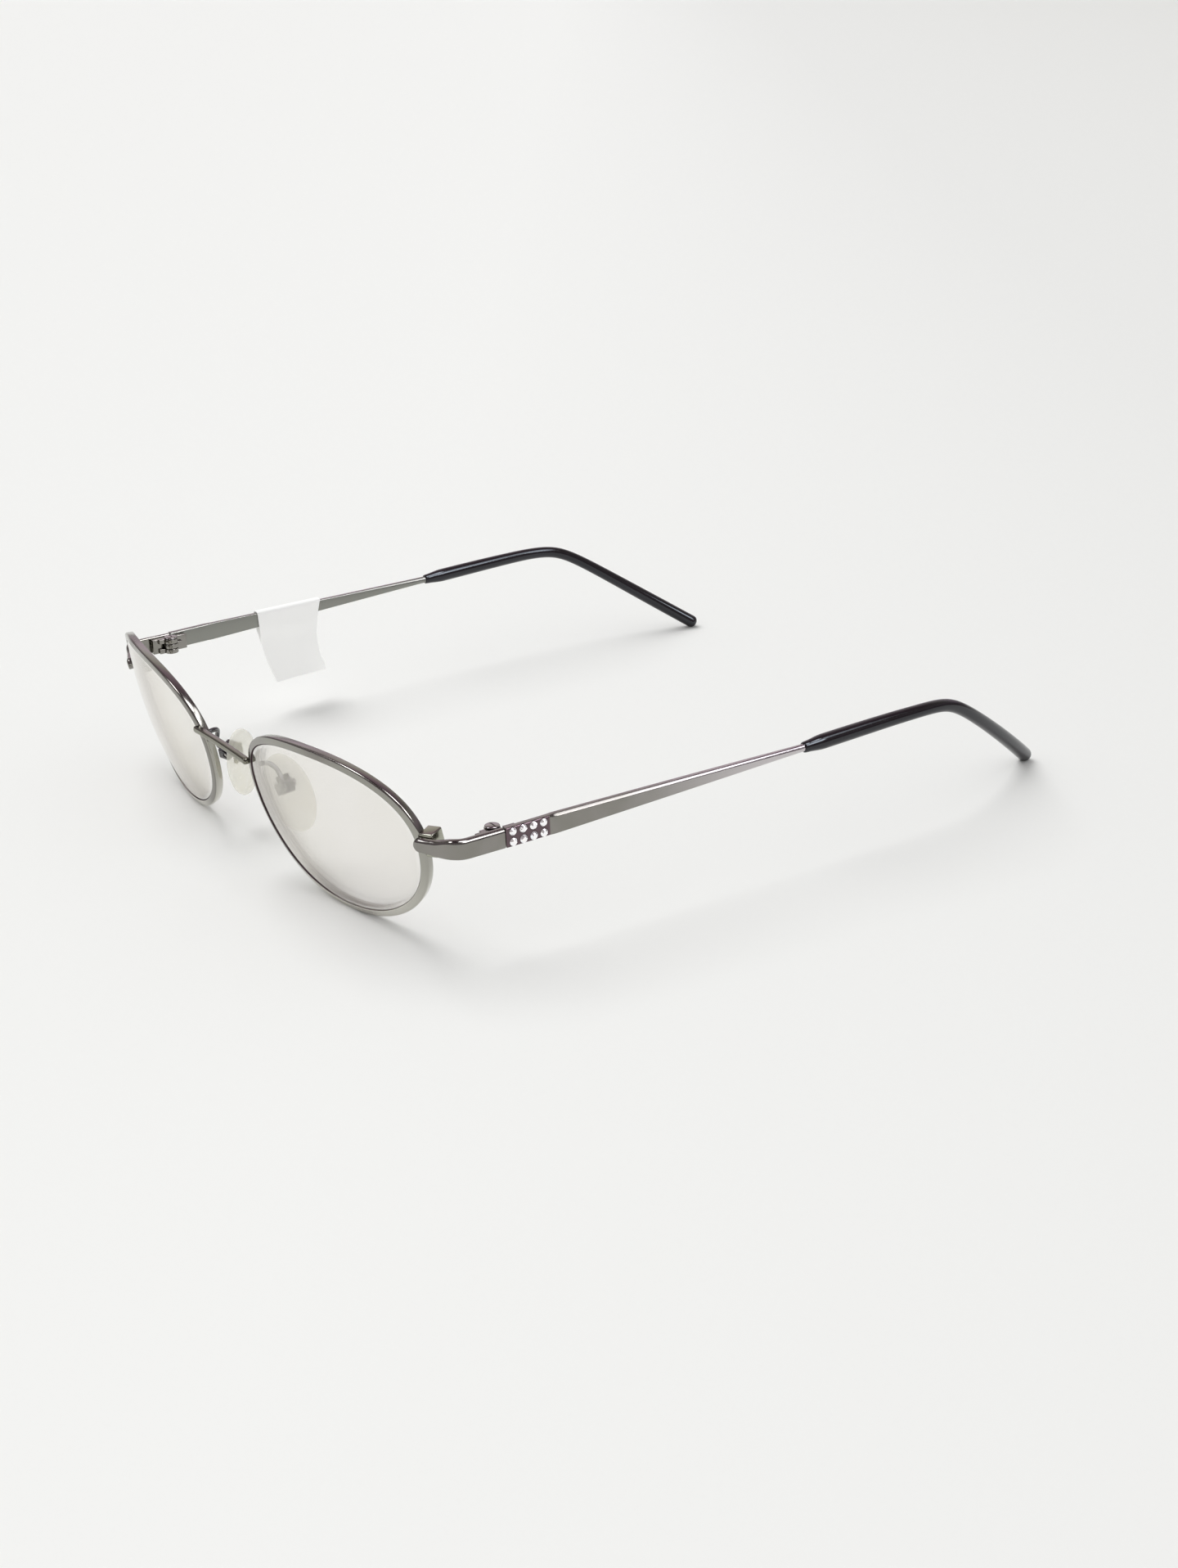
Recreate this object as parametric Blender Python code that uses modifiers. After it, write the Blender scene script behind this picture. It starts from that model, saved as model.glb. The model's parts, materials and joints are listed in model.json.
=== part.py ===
"""Oval metal sunglasses with folding temples, modelled as separate pieces.

Metres, +Z up. The wearer's left is +X, the lenses face -Y and the temples run towards +Y.
Every paired piece is modelled for the left side and mirrored for the right.
"""

import math

import bmesh
import bpy
from mathutils import Matrix, Vector

# Lens openings and the way the front sits
LENS_WIDTH = 0.04675
LENS_HEIGHT = 0.0299
LENS_FULLNESS = 2.21
LENS_TOP_SPREAD = 0.088
NOSE_SPAN = 0.0213
FACE_RADIUS = 0.0755
FACE_WRAP = 0.143
FACE_LEAN = math.radians(12.6)

# Fits between neighbours
GAP = 0.00012
PIN_PLAY = 0.00008
REST_CUT = 0.00015

# Rims and lenses
RIM_FACE = 0.0014
RIM_DEPTH = 0.0016
RIM_BEVEL = 0.0003
RIM_EASE = 0.00012
GROOVE_DEPTH = 0.0005
GROOVE_WIDTH = 0.0010
LENS_THICKNESS = 0.0013
OUTLINE_STEPS = 46

# Closing blocks that clamp each rim round its lens
SPLIT_ANGLE = math.radians(5.8)
SPLIT_GAP = 0.0003
BLOCK_REACH = 0.0018
BLOCK_DEPTH = 0.0027
BLOCK_RISE = 0.0034
BLOCK_FALL = 0.0013
BLOCK_BEVEL = 0.00025

# Bridge bar
BRIDGE_ANGLE = math.radians(158.8)
BRIDGE_HEIGHT = 0.0016
BRIDGE_DEPTH = 0.0018
BRIDGE_LAP = 0.0013
BRIDGE_ARCH = 0.0002

# Temples
TEMPLE_REACH = 0.0089
TEMPLE_SIDE = NOSE_SPAN / 2 + LENS_WIDTH + TEMPLE_REACH
TEMPLE_SPREAD = 0.0006
TEMPLE_LEVEL = 0.02065
TEMPLE_CLIMB = 0.0158
TEMPLE_START = 0.0179
TEMPLE_HEIGHT = 0.0035
TEMPLE_THICKNESS = 0.0013
TEMPLE_CORNER = 0.0002
TAPER_START = 0.0272
TAPER_END = 0.0780
TAPER_EASE = 1.1
WIRE_RADIUS = 0.0007
WIRE_SHORT = 0.0116

# Tips: plastic sleeves over the ends of the temples
MOUTH_PLACE = 0.0790
CURL_PLACE = 0.1030
BEND_PLACE = 0.1136
BEND_SOFTNESS = 0.0047
TIP_PLACE = 0.1429
WIRE_END = TIP_PLACE - WIRE_SHORT
TIP_CLIMB = 0.0203
TIP_INSET = 0.0113
MOUTH_RADIUS = 0.0010
MOUTH_TAPER = 0.0048
SWELL_RADIUS = 0.00138
BEND_RADIUS = 0.0012
TIP_RADIUS = 0.0014

# End pieces, from the rims round to the hinges
END_PIECE_HEIGHT = 0.0034
END_PIECE_FRONT_HEIGHT = 0.0024
END_PIECE_THICKNESS = 0.0013
END_PIECE_LAP = 0.0012
END_PIECE_RISE = 0.0016
END_PIECE_STRAIGHT = 0.0030
END_PIECE_TURN = 0.0112

# Three-knuckle hinges
HINGE_INSET = 0.0024
HINGE_PLACE = 0.0171
HINGE_DROP = 0.0002
HINGE_HEIGHT = 0.0030
KNUCKLE_RADIUS = 0.0014
KNUCKLE_PLAY = 0.0001
LEAF_THICKNESS = 0.0010
LEAF_LENGTH = 0.0022

# Screws
PIN_RADIUS = 0.0005
HINGE_HEAD_RADIUS = 0.0013
CLOSING_HEAD_RADIUS = 0.00065
CLOSING_CLIMB = 0.0022
HEAD_HEIGHT = 0.0004
PAD_PIN_RADIUS = 0.0004
PAD_HEAD_RADIUS = 0.0007
PAD_HEAD_HEIGHT = 0.0003
SLOT_WIDTH = 0.0003
SLOT_DEPTH = 0.00018

# Nose pads, and the tabs, boxes and arms that carry them
PAD_INSET = 0.00085
PAD_CENTRE = Vector((NOSE_SPAN / 2 - PAD_INSET, 0.0068, 0.0135))
PAD_LENGTH = 0.0152
PAD_WIDTH = 0.0082
PAD_THICKNESS = 0.0022
PAD_SPLAY = math.radians(28.0)
PAD_FLARE = math.radians(16.0)
PIVOT_RISE = 0.0020
PIVOT_STAND = 0.0013
TAB_THICKNESS = 0.0010
TAB_RADIUS = 0.0008
FOOT_WIDTH = 0.0024
FOOT_LENGTH = 0.0034
FOOT_DEPTH = 0.0007
BOX_CHEEK = 0.0011
BOX_PLAY = 0.0001
BOX_HEIGHT = 0.0022
BOX_LIP = 0.0007
BOX_WEB = 0.0006
ARM_RADIUS = 0.00045
ARM_ANGLE = math.radians(163.0)
ARM_BACK = 0.0042
ARM_CURL = 0.0034

# Crystals set in the outer face of each temple
CRYSTAL_COLUMNS = 4
CRYSTAL_PITCH = 0.00195
CRYSTAL_ROW_PITCH = 0.0018
CRYSTAL_START = 0.0192
CRYSTAL_RADIUS = 0.00072
CRYSTAL_CROWN = 0.0004
CRYSTAL_PAVILION = 0.00045

# Paper tag folded over the right temple
TAG_START = 0.0378
TAG_WIDTH = 0.0148
TAG_DROP = 0.0166
TAG_SLANT = 0.0034
TAG_PAPER = 0.0002
TAG_ROOM = 0.0003
TAG_CLOSED = 0.0003
TAG_CURL = 0.0015

MERGE = 0.000001
SMOOTH_ANGLE = math.radians(35)

for leftover in list(bpy.data.objects):
    bpy.data.objects.remove(leftover)

PARTS = bpy.data.collections.new("oval_sunglasses")
CUTTERS = bpy.data.collections.new("cutters")
bpy.context.scene.collection.children.link(PARTS)
bpy.context.scene.collection.children.link(CUTTERS)


def make_material(name, colour, metallic, roughness, alpha=1.0):
    """Principled material."""
    material = bpy.data.materials.new(name)
    material.use_nodes = True
    shader = material.node_tree.nodes["Principled BSDF"]
    shader.inputs["Base Color"].default_value = (*colour, 1)
    shader.inputs["Metallic"].default_value = metallic
    shader.inputs["Roughness"].default_value = roughness
    shader.inputs["Alpha"].default_value = alpha
    material.diffuse_color = (*colour, alpha)
    return material


def add_piece(name, bm, smooth=True):
    """Adds a named piece from a shape."""
    mesh = bpy.data.meshes.new(name)
    bm.to_mesh(mesh)
    bm.free()
    if smooth:
        mesh.shade_smooth()
        mesh.set_sharp_from_angle(angle=SMOOTH_ANGLE)
    piece = bpy.data.objects.new(name, mesh)
    PARTS.objects.link(piece)
    return piece


def combine(piece, operation, bm):
    """Cuts a shape from a piece, or joins it on, with a Boolean modifier."""
    name = piece.name + "_" + operation.lower()
    mesh = bpy.data.meshes.new(name)
    bm.to_mesh(mesh)
    bm.free()
    cutter = bpy.data.objects.new(name, mesh)
    cutter.hide_render = True
    cutter.display_type = "WIRE"
    CUTTERS.objects.link(cutter)
    boolean = piece.modifiers.new(name, "BOOLEAN")
    boolean.operation = operation
    boolean.solver = "EXACT"
    boolean.object = cutter


def with_cutters(piece):
    """A piece and the cutters that its modifiers use."""
    return [piece] + [modifier.object for modifier in piece.modifiers if modifier.type == "BOOLEAN"]


def place(piece, frame):
    """Places a piece, and its cutters, by a matrix."""
    for item in with_cutters(piece):
        item.matrix_basis = frame
    return piece


def box(low, high):
    """Box between two corners."""
    bm = bmesh.new()
    size = Vector(high) - Vector(low)
    middle = Matrix.Translation((Vector(high) + Vector(low)) / 2)
    bmesh.ops.create_cube(bm, size=1, matrix=middle @ Matrix.Diagonal(size.to_4d()))
    return bm


def cylinder(radius, length, frame=Matrix(), segments=12):
    """Cylinder about the Z axis of a frame, centred on its origin."""
    bm = bmesh.new()
    bmesh.ops.create_cone(
        bm, cap_ends=True, segments=segments, radius1=radius, radius2=radius, depth=length, matrix=frame)
    return bm


def turned(name, profile, steps):
    """Piece turned about Z from (radius, height) points that run from its top to its bottom."""
    bm = bmesh.new()
    verts = [bm.verts.new((radius, 0, height)) for radius, height in profile]
    for pair in zip(verts, verts[1:]):
        bm.edges.new(pair)
    piece = add_piece(name, bm, smooth=False)
    screw = piece.modifiers.new("turn", "SCREW")
    screw.steps = steps
    screw.render_steps = steps
    screw.use_merge_vertices = True
    screw.merge_threshold = MERGE
    return piece


def axes_frame(x_axis, y_axis, z_axis, origin):
    """Matrix with the given axes and origin."""
    turn = Matrix((x_axis, y_axis, z_axis)).transposed()
    return Matrix.Translation(origin) @ turn.to_4x4()


def spaced(start, end, count):
    """Evenly spaced values, both ends included."""
    return [start + (end - start) * i / (count - 1) for i in range(count)]


def loft(rings, apexes=None):
    """Skin through rings of equal length, closed at both ends by a face or a fan to an apex."""
    bm = bmesh.new()
    rows = [[bm.verts.new(point) for point in ring] for ring in rings]
    for row, after in zip(rows, rows[1:]):
        for j, vert in enumerate(row):
            k = (j + 1) % len(row)
            bm.faces.new((vert, row[k], after[k], after[j]))
    for row, apex in zip((rows[0], rows[-1]), apexes or (None, None)):
        if apex is None:
            bm.faces.new(row)
            continue
        tip = bm.verts.new(apex)
        for j, vert in enumerate(row):
            bm.faces.new((vert, row[(j + 1) % len(row)], tip))
    bmesh.ops.recalc_face_normals(bm, faces=bm.faces)
    return bm


def rounded_section(half_side, half_up, corner):
    """Twelve points of a rounded rectangle, which is round when all three sizes are equal."""
    points = []
    for quarter in range(4):
        side_sign = 1 if quarter in (0, 3) else -1
        up_sign = 1 if quarter in (0, 1) else -1
        for step in (15, 45, 75):
            angle = math.radians(90 * quarter + step)
            side = side_sign * (half_side - corner) + corner * math.cos(angle)
            up = up_sign * (half_up - corner) + corner * math.sin(angle)
            points.append((side, up))
    return points


def swept_rings(path, sections, uprights=None):
    """Rings of each section across a path, with the section's second axis upright or as given."""
    rings = []
    for i, (spot, section) in enumerate(zip(path, sections)):
        ahead = path[min(i + 1, len(path) - 1)] - path[max(i - 1, 0)]
        side = ahead.cross(uprights[i] if uprights else Vector((0, 0, 1))).normalized()
        up = side.cross(ahead).normalized()
        rings.append([spot + side * across + up * above for across, above in section])
    return rings


def cut_flat(bm):
    """Cuts off what is below the ground and closes the cut."""
    geometry = bm.verts[:] + bm.edges[:] + bm.faces[:]
    cut = bmesh.ops.bisect_plane(
        bm, geom=geometry, dist=MERGE, plane_co=(0, 0, 0), plane_no=(0, 0, -1), clear_outer=True)
    edges = [item for item in cut["geom_cut"] if isinstance(item, bmesh.types.BMEdge)]
    bmesh.ops.holes_fill(bm, edges=edges)
    bmesh.ops.recalc_face_normals(bm, faces=bm.faces)
    return bm


def opening_point(angle):
    """Point on the edge of the lens opening, which is an oval a little wider above its middle."""
    power = 2 / LENS_FULLNESS
    across = math.copysign(abs(math.cos(angle)) ** power, math.cos(angle))
    up = math.copysign(abs(math.sin(angle)) ** power, math.sin(angle))
    return LENS_WIDTH / 2 * across * (1 + LENS_TOP_SPREAD * up), LENS_HEIGHT / 2 * up


def outline_point(angle, offset):
    """Point outside the lens opening by an offset, measured from the middle of the lens."""
    step = 0.001
    before = Vector(opening_point(angle - step))
    after = Vector(opening_point(angle + step))
    ahead = (after - before).normalized()
    across, up = opening_point(angle)
    return across + offset * ahead.y, up - offset * ahead.x


def surface_point(across, up, depth, level):
    """Point behind the curved face of the left half of the front."""
    back = (across ** 2 + up ** 2) / (2 * FACE_RADIUS) + FACE_WRAP * across
    normal = Vector((-(across / FACE_RADIUS + FACE_WRAP), 1, -up / FACE_RADIUS)).normalized()
    flat = Vector((across, back, up)) + depth * normal
    centre = Vector(((NOSE_SPAN + LENS_WIDTH) / 2, 0, level))
    return centre + Matrix.Rotation(FACE_LEAN, 3, "X") @ flat


def rim_low_point():
    """Height of the lowest point of a rim whose lens centre is at height zero."""
    angles = [math.tau * i / OUTLINE_STEPS for i in range(OUTLINE_STEPS)]
    return min(surface_point(*outline_point(angle, RIM_FACE), RIM_BEVEL, 0).z for angle in angles)


FACE_LEVEL = -rim_low_point() - REST_CUT


def face_point(angle, offset, depth):
    """Point of the front by its angle round the lens, its offset from the opening and its depth."""
    return surface_point(*outline_point(angle, offset), depth, FACE_LEVEL)


def open_ring_angles():
    """Angles round a rim, from one side of its split to the other."""
    step = 0.001
    span = (face_point(SPLIT_ANGLE + step, RIM_FACE, 0) - face_point(SPLIT_ANGLE, RIM_FACE, 0)).length
    half = SPLIT_GAP / 2 * step / span
    return spaced(SPLIT_ANGLE + half, SPLIT_ANGLE + math.tau - half, OUTLINE_STEPS + 1)


def make_rim():
    """Eyewire with a bevelled face and a groove, open at the split, with a flat where it stands."""
    middle = RIM_DEPTH / 2
    wide = GROOVE_WIDTH / 2
    narrow = GROOVE_WIDTH / 4
    section = [
        (0, RIM_EASE),
        (RIM_EASE, 0),
        (RIM_FACE - RIM_BEVEL, 0),
        (RIM_FACE, RIM_BEVEL),
        (RIM_FACE, RIM_DEPTH - RIM_EASE),
        (RIM_FACE - RIM_EASE, RIM_DEPTH),
        (RIM_EASE, RIM_DEPTH),
        (0, RIM_DEPTH - RIM_EASE),
        (0, middle + wide),
        (GROOVE_DEPTH, middle + narrow),
        (GROOVE_DEPTH, middle - narrow),
        (0, middle - wide),
    ]
    rings = [[face_point(angle, *point) for point in section] for angle in open_ring_angles()]
    return add_piece("rim_left", cut_flat(loft(rings)))


def make_lens():
    """Curved lens with a ridge round its edge that sits in the rim's groove."""
    angles = open_ring_angles()
    front = (RIM_DEPTH - LENS_THICKNESS) / 2
    back = front + LENS_THICKNESS
    middle = RIM_DEPTH / 2
    wide = GROOVE_WIDTH / 2 - GAP
    narrow = GROOVE_WIDTH / 4 - GAP
    ridge = GROOVE_DEPTH - GAP
    edge = [(-GAP, front), (-GAP, middle - wide), (ridge, middle - narrow), (ridge, middle + narrow),
            (-GAP, middle + wide), (-GAP, back)]

    def inner_ring(share, depth):
        spots = [outline_point(angle, -GAP) for angle in angles]
        return [surface_point(share * across, share * up, depth, FACE_LEVEL) for across, up in spots]

    rings = [inner_ring(0.35, front), inner_ring(0.7, front)]
    rings += [[face_point(angle, *point) for angle in angles] for point in edge]
    rings += [inner_ring(0.7, back), inner_ring(0.35, back)]
    apexes = [surface_point(0, 0, depth, FACE_LEVEL) for depth in (front, back)]
    return add_piece("lens_left", loft(rings, apexes))


def block_frame():
    """Frame at a rim's split: X outwards along the face, Y back from the face and Z up the rim."""
    origin = face_point(SPLIT_ANGLE, 0, 0)
    outward = (face_point(SPLIT_ANGLE, RIM_FACE, 0) - origin).normalized()
    upward = outward.cross(face_point(SPLIT_ANGLE, 0, RIM_DEPTH) - origin).normalized()
    return axes_frame(outward, upward.cross(outward), upward, origin)


def closing_axis():
    """Axis of the closing screw in the block's frame."""
    return Matrix.Translation((RIM_FACE + GAP + BLOCK_REACH / 2, BLOCK_DEPTH / 2, 0))


def make_closing_block(name, low, high):
    """Half of the block on a rim's split, shaped to the rim and bored for its screw."""
    reach = RIM_FACE + GAP + BLOCK_REACH
    piece = add_piece(name, box((RIM_FACE / 2, 0, low), (reach, BLOCK_DEPTH, high)), smooth=False)
    bevel = piece.modifiers.new("edges", "BEVEL")
    bevel.width = BLOCK_BEVEL
    bevel.segments = 2
    angles = spaced(SPLIT_ANGLE - 1, SPLIT_ANGLE + 1, 2 * OUTLINE_STEPS)
    room = loft([[face_point(angle, RIM_FACE + GAP, depth) for angle in angles]
                 for depth in (-RIM_DEPTH, 2 * RIM_DEPTH)])
    bmesh.ops.transform(room, matrix=block_frame().inverted(), verts=room.verts)
    combine(piece, "DIFFERENCE", room)
    combine(piece, "DIFFERENCE", cylinder(PIN_RADIUS + PIN_PLAY, 2 * (CLOSING_CLIMB + GAP), closing_axis()))
    if low == -BLOCK_FALL:
        sink = closing_axis() @ Matrix.Translation((0, 0, low))
        combine(piece, "DIFFERENCE", cylinder(CLOSING_HEAD_RADIUS + PIN_PLAY, 2 * (HEAD_HEIGHT + GAP), sink))
    return place(piece, block_frame())


def make_screw(name, pin_radius, head_radius, head_height, length):
    """Screw with its head seated at height zero and its pin below, slotted across the head."""
    chamfer = pin_radius / 2
    profile = [
        (0, head_height),
        (head_radius * 0.65, head_height * 0.9),
        (head_radius, head_height * 0.4),
        (head_radius, 0),
        (pin_radius, 0),
        (pin_radius, chamfer - length),
        (pin_radius - chamfer, -length),
        (0, -length),
    ]
    piece = turned(name, profile, 12)
    slot_low = (-head_radius * 2, -SLOT_WIDTH / 2, head_height - SLOT_DEPTH)
    slot_high = (head_radius * 2, SLOT_WIDTH / 2, head_height * 2)
    combine(piece, "DIFFERENCE", box(slot_low, slot_high))
    return piece


def make_closing_screw():
    """Screw up through the lower half of the closing block, where its head is sunk, into the upper one."""
    seat = BLOCK_FALL - HEAD_HEIGHT
    length = seat + CLOSING_CLIMB
    piece = make_screw("closing_screw_left", PIN_RADIUS, CLOSING_HEAD_RADIUS, HEAD_HEIGHT, length)
    lift = Matrix.Translation((0, 0, -seat)) @ Matrix.Rotation(math.pi, 4, "X")
    return place(piece, block_frame() @ closing_axis() @ lift)


def make_bridge():
    """Bar between the rims, with rounded ends that lie on their faces."""
    end = face_point(BRIDGE_ANGLE, RIM_FACE - BRIDGE_LAP, -(BRIDGE_DEPTH / 2 + GAP))
    rounding = ((1, 0.4), (0.98, 0.75), (0.94, 0.95), (0.87, 1), (0.6, 1), (0.3, 1))
    stations = [(-share, full) for share, full in rounding] + [(0, 1)] + list(rounding[::-1])
    path = []
    sections = []
    for share, full in stations:
        path.append(Vector((end.x * share, end.y, end.z + BRIDGE_ARCH * (1 - share ** 2))))
        half_up = BRIDGE_HEIGHT / 2 * full
        sections.append(rounded_section(BRIDGE_DEPTH / 2, half_up, BRIDGE_HEIGHT / 2 * rounding[0][1]))
    return add_piece("bridge", loft(swept_rings(path, sections)))


def curve_point(points, share):
    """Point on the cubic curve of a start, two handles and an end."""
    rest = 1 - share
    weights = (rest ** 3, 3 * rest ** 2 * share, 3 * rest * share ** 2, share ** 3)
    return sum((point * weight for point, weight in zip(points, weights)), Vector((0, 0, 0)))


def make_end_piece():
    """Strap from the rim's face, across the closing block and round to the hinge."""
    across, back, rising = block_frame().to_3x3().transposed()
    outward = (across * rising.z - rising * across.z).normalized()
    leaning = outward.cross(back)
    lift = END_PIECE_THICKNESS / 2 + GAP
    first = block_frame() @ Vector((RIM_FACE - END_PIECE_LAP, -lift, 0)) + leaning * END_PIECE_RISE
    turn_start = first + outward * (END_PIECE_LAP + END_PIECE_STRAIGHT)
    turn_end = Vector((TEMPLE_SIDE, END_PIECE_TURN, TEMPLE_LEVEL))
    handle = (turn_end - turn_start).length / 2
    bend = (turn_start, turn_start + outward * handle, turn_end - Vector((0, handle, 0)), turn_end)
    path = [first + outward * END_PIECE_LAP * share for share in (0, 0.25, 0.7)]
    heights = [END_PIECE_FRONT_HEIGHT * full for full in (0.5, 0.8, 1)]
    turn = [curve_point(bend, share) for share in spaced(0, 1, 9)]
    path += turn + [Vector((TEMPLE_SIDE, TEMPLE_START - 2 * GAP, TEMPLE_LEVEL))]
    heights += spaced(END_PIECE_FRONT_HEIGHT, END_PIECE_HEIGHT, len(turn) + 1)
    sections = [rounded_section(END_PIECE_THICKNESS / 2, height / 2, TEMPLE_CORNER) for height in heights]
    upright = Vector((0, 0, 1))
    uprights = [leaning] * (len(heights) - len(turn))
    uprights += [leaning.lerp(upright, share) for share in spaced(0, 1, len(turn))]
    return add_piece("end_piece_left", loft(swept_rings(path, sections, uprights)))


def hinge_axis():
    """Middle of the left hinge's axis."""
    return Vector((TEMPLE_SIDE - HINGE_INSET, HINGE_PLACE, TEMPLE_LEVEL - HINGE_DROP))


def make_hinge_half(name, side, levels):
    """Hinge leaf on one side of the axis (-1 front, 1 back) with knuckles at some of three levels."""
    outer = HINGE_INSET - TEMPLE_THICKNESS / 2 - GAP
    near = side * (KNUCKLE_RADIUS + GAP)
    far = side * (KNUCKLE_RADIUS + GAP + LEAF_LENGTH)
    overlap = side * (KNUCKLE_RADIUS + GAP + LEAF_THICKNESS)
    half = HINGE_HEIGHT / 2
    piece = add_piece(name, box((outer - LEAF_THICKNESS, min(near, far), -half), (outer, max(near, far), half)))
    height = (HINGE_HEIGHT - 2 * KNUCKLE_PLAY) / 3
    for level in levels:
        middle = level * (height + KNUCKLE_PLAY)
        low = (0, min(0, overlap), middle - height / 2)
        high = (outer, max(0, overlap), middle + height / 2)
        combine(piece, "UNION", box(low, high))
        combine(piece, "UNION", cylinder(KNUCKLE_RADIUS, height, Matrix.Translation((0, 0, middle))))
    combine(piece, "DIFFERENCE", cylinder(PIN_RADIUS + PIN_PLAY, 2 * HINGE_HEIGHT))
    return place(piece, Matrix.Translation(hinge_axis()))


def make_hinge_screw():
    """Screw down through the three knuckles."""
    piece = make_screw("hinge_screw_left", PIN_RADIUS, HINGE_HEAD_RADIUS, HEAD_HEIGHT, HINGE_HEIGHT + GAP)
    lift = Vector((0, 0, HINGE_HEIGHT / 2 + GAP))
    return place(piece, Matrix.Translation(hinge_axis() + lift))


def climbed(along):
    """Height of the temple at a distance behind the front if it did not bend down."""
    return TEMPLE_LEVEL + TEMPLE_CLIMB * (along - TEMPLE_START) + TIP_CLIMB * max(0, along - MOUTH_PLACE)


def fallen(along):
    """Distance that counts towards the fall at a distance along the temple, with a soft start."""
    past = along - BEND_PLACE
    return (past + math.hypot(past, BEND_SOFTNESS)) / 2


def temple_point(along):
    """Centre line of the left temple and its tip at a distance behind the front."""
    spread = TEMPLE_SPREAD * min((along - TEMPLE_START) / (MOUTH_PLACE - TEMPLE_START), 1)
    curl = max(0, (along - CURL_PLACE) / (TIP_PLACE - CURL_PLACE))
    side = TEMPLE_SIDE + spread - TIP_INSET * curl ** 2
    fall = (climbed(TIP_PLACE) - TIP_RADIUS + REST_CUT) / (fallen(TIP_PLACE) - fallen(TEMPLE_START))
    level = climbed(along) - fall * (fallen(along) - fallen(TEMPLE_START))
    return Vector((side, along, level))


def temple_section(along):
    """Section of the temple: a flat bar that tapers to a round wire."""
    share = min(max((along - TAPER_START) / (TAPER_END - TAPER_START), 0), 1)
    half_up = WIRE_RADIUS + (TEMPLE_HEIGHT / 2 - WIRE_RADIUS) * (1 - share) ** TAPER_EASE
    half_side = WIRE_RADIUS + (TEMPLE_THICKNESS / 2 - WIRE_RADIUS) * (1 - share)
    return rounded_section(half_side, half_up, TEMPLE_CORNER + (WIRE_RADIUS - TEMPLE_CORNER) * share)


def tip_stations():
    """Distances of the rings that the wire and its sleeve share."""
    straight = spaced(MOUTH_PLACE, CURL_PLACE, 6)
    return straight + spaced(CURL_PLACE, TIP_PLACE, 16)[1:]


def sleeve_radius(along):
    """Radius of the sleeve, which swells behind its mouth, narrows at the bend and swells again."""
    places = (MOUTH_PLACE, MOUTH_PLACE + MOUTH_TAPER, BEND_PLACE, TIP_PLACE)
    radii = (MOUTH_RADIUS, SWELL_RADIUS, BEND_RADIUS, TIP_RADIUS)
    for start, end, first, last in zip(places, places[1:], radii, radii[1:]):
        if along <= end:
            break
    return first + (last - first) * (along - start) / (end - start)


def crystal_frames():
    """Frames of the crystals on the outer face of the left temple, with Z out of the face."""
    ahead = temple_point(TAPER_START) - temple_point(TEMPLE_START)
    outward = ahead.cross(Vector((0, 0, 1))).normalized()
    turn = outward.to_track_quat("Z", "Y").to_matrix().to_4x4()
    frames = []
    for column in range(CRYSTAL_COLUMNS):
        spot = temple_point(CRYSTAL_START + column * CRYSTAL_PITCH) + outward * TEMPLE_THICKNESS / 2
        for row in (-0.5, 0.5):
            frames.append(Matrix.Translation(spot + Vector((0, 0, row * CRYSTAL_ROW_PITCH))) @ turn)
    return frames


def make_temple_bar():
    """Metal temple: a flat bar with seats for the crystals, and a wire inside the tip."""
    stations = [TEMPLE_START] + spaced(TAPER_START, TAPER_END, 8)
    stations += [along for along in tip_stations() if along < WIRE_END] + [WIRE_END]
    path = [temple_point(along) for along in stations]
    piece = add_piece("temple_bar_left", loft(swept_rings(path, [temple_section(along) for along in stations])))
    seats = bmesh.new()
    for frame in crystal_frames():
        bmesh.ops.create_cone(
            seats, cap_ends=True, segments=12, radius1=CRYSTAL_RADIUS + PIN_PLAY,
            radius2=CRYSTAL_RADIUS + PIN_PLAY, depth=2 * (CRYSTAL_PAVILION + GAP), matrix=frame)
    combine(piece, "DIFFERENCE", seats)
    return piece


def make_crystals():
    """Cut stones, one in each seat."""
    girdle = 0.00006
    profile = [
        (0, CRYSTAL_CROWN),
        (CRYSTAL_RADIUS * 0.58, CRYSTAL_CROWN),
        (CRYSTAL_RADIUS, girdle),
        (CRYSTAL_RADIUS, -girdle),
        (CRYSTAL_RADIUS * 0.15, -CRYSTAL_PAVILION),
        (0, -CRYSTAL_PAVILION),
    ]
    stones = []
    for number, frame in enumerate(crystal_frames(), start=1):
        stones.append(place(turned(f"crystal_left_{number}", profile, 8), frame))
    return stones


def make_temple_tip():
    """Plastic sleeve round the temple's wire, closed and rounded at its end, with a flat under it."""
    stations = tip_stations()
    path = [temple_point(along) for along in stations]
    radii = [sleeve_radius(along) for along in stations]
    ahead = (path[-1] - path[-2]).normalized()
    for share in (0.5, 0.85):
        path.append(path[len(stations) - 1] + ahead * TIP_RADIUS * share)
        radii.append(TIP_RADIUS * math.sqrt(1 - share ** 2))
    outside = swept_rings(path, [rounded_section(radius, radius, radius) for radius in radii])
    bore = WIRE_RADIUS + GAP
    deep = [temple_point(along) for along in stations if along < WIRE_END]
    deep += [temple_point(WIRE_END), temple_point(WIRE_END + GAP)]
    inside = swept_rings(deep, [rounded_section(bore, bore, bore)] * len(deep))
    return add_piece("temple_tip_left", cut_flat(loft(outside[::-1] + inside)))


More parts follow.
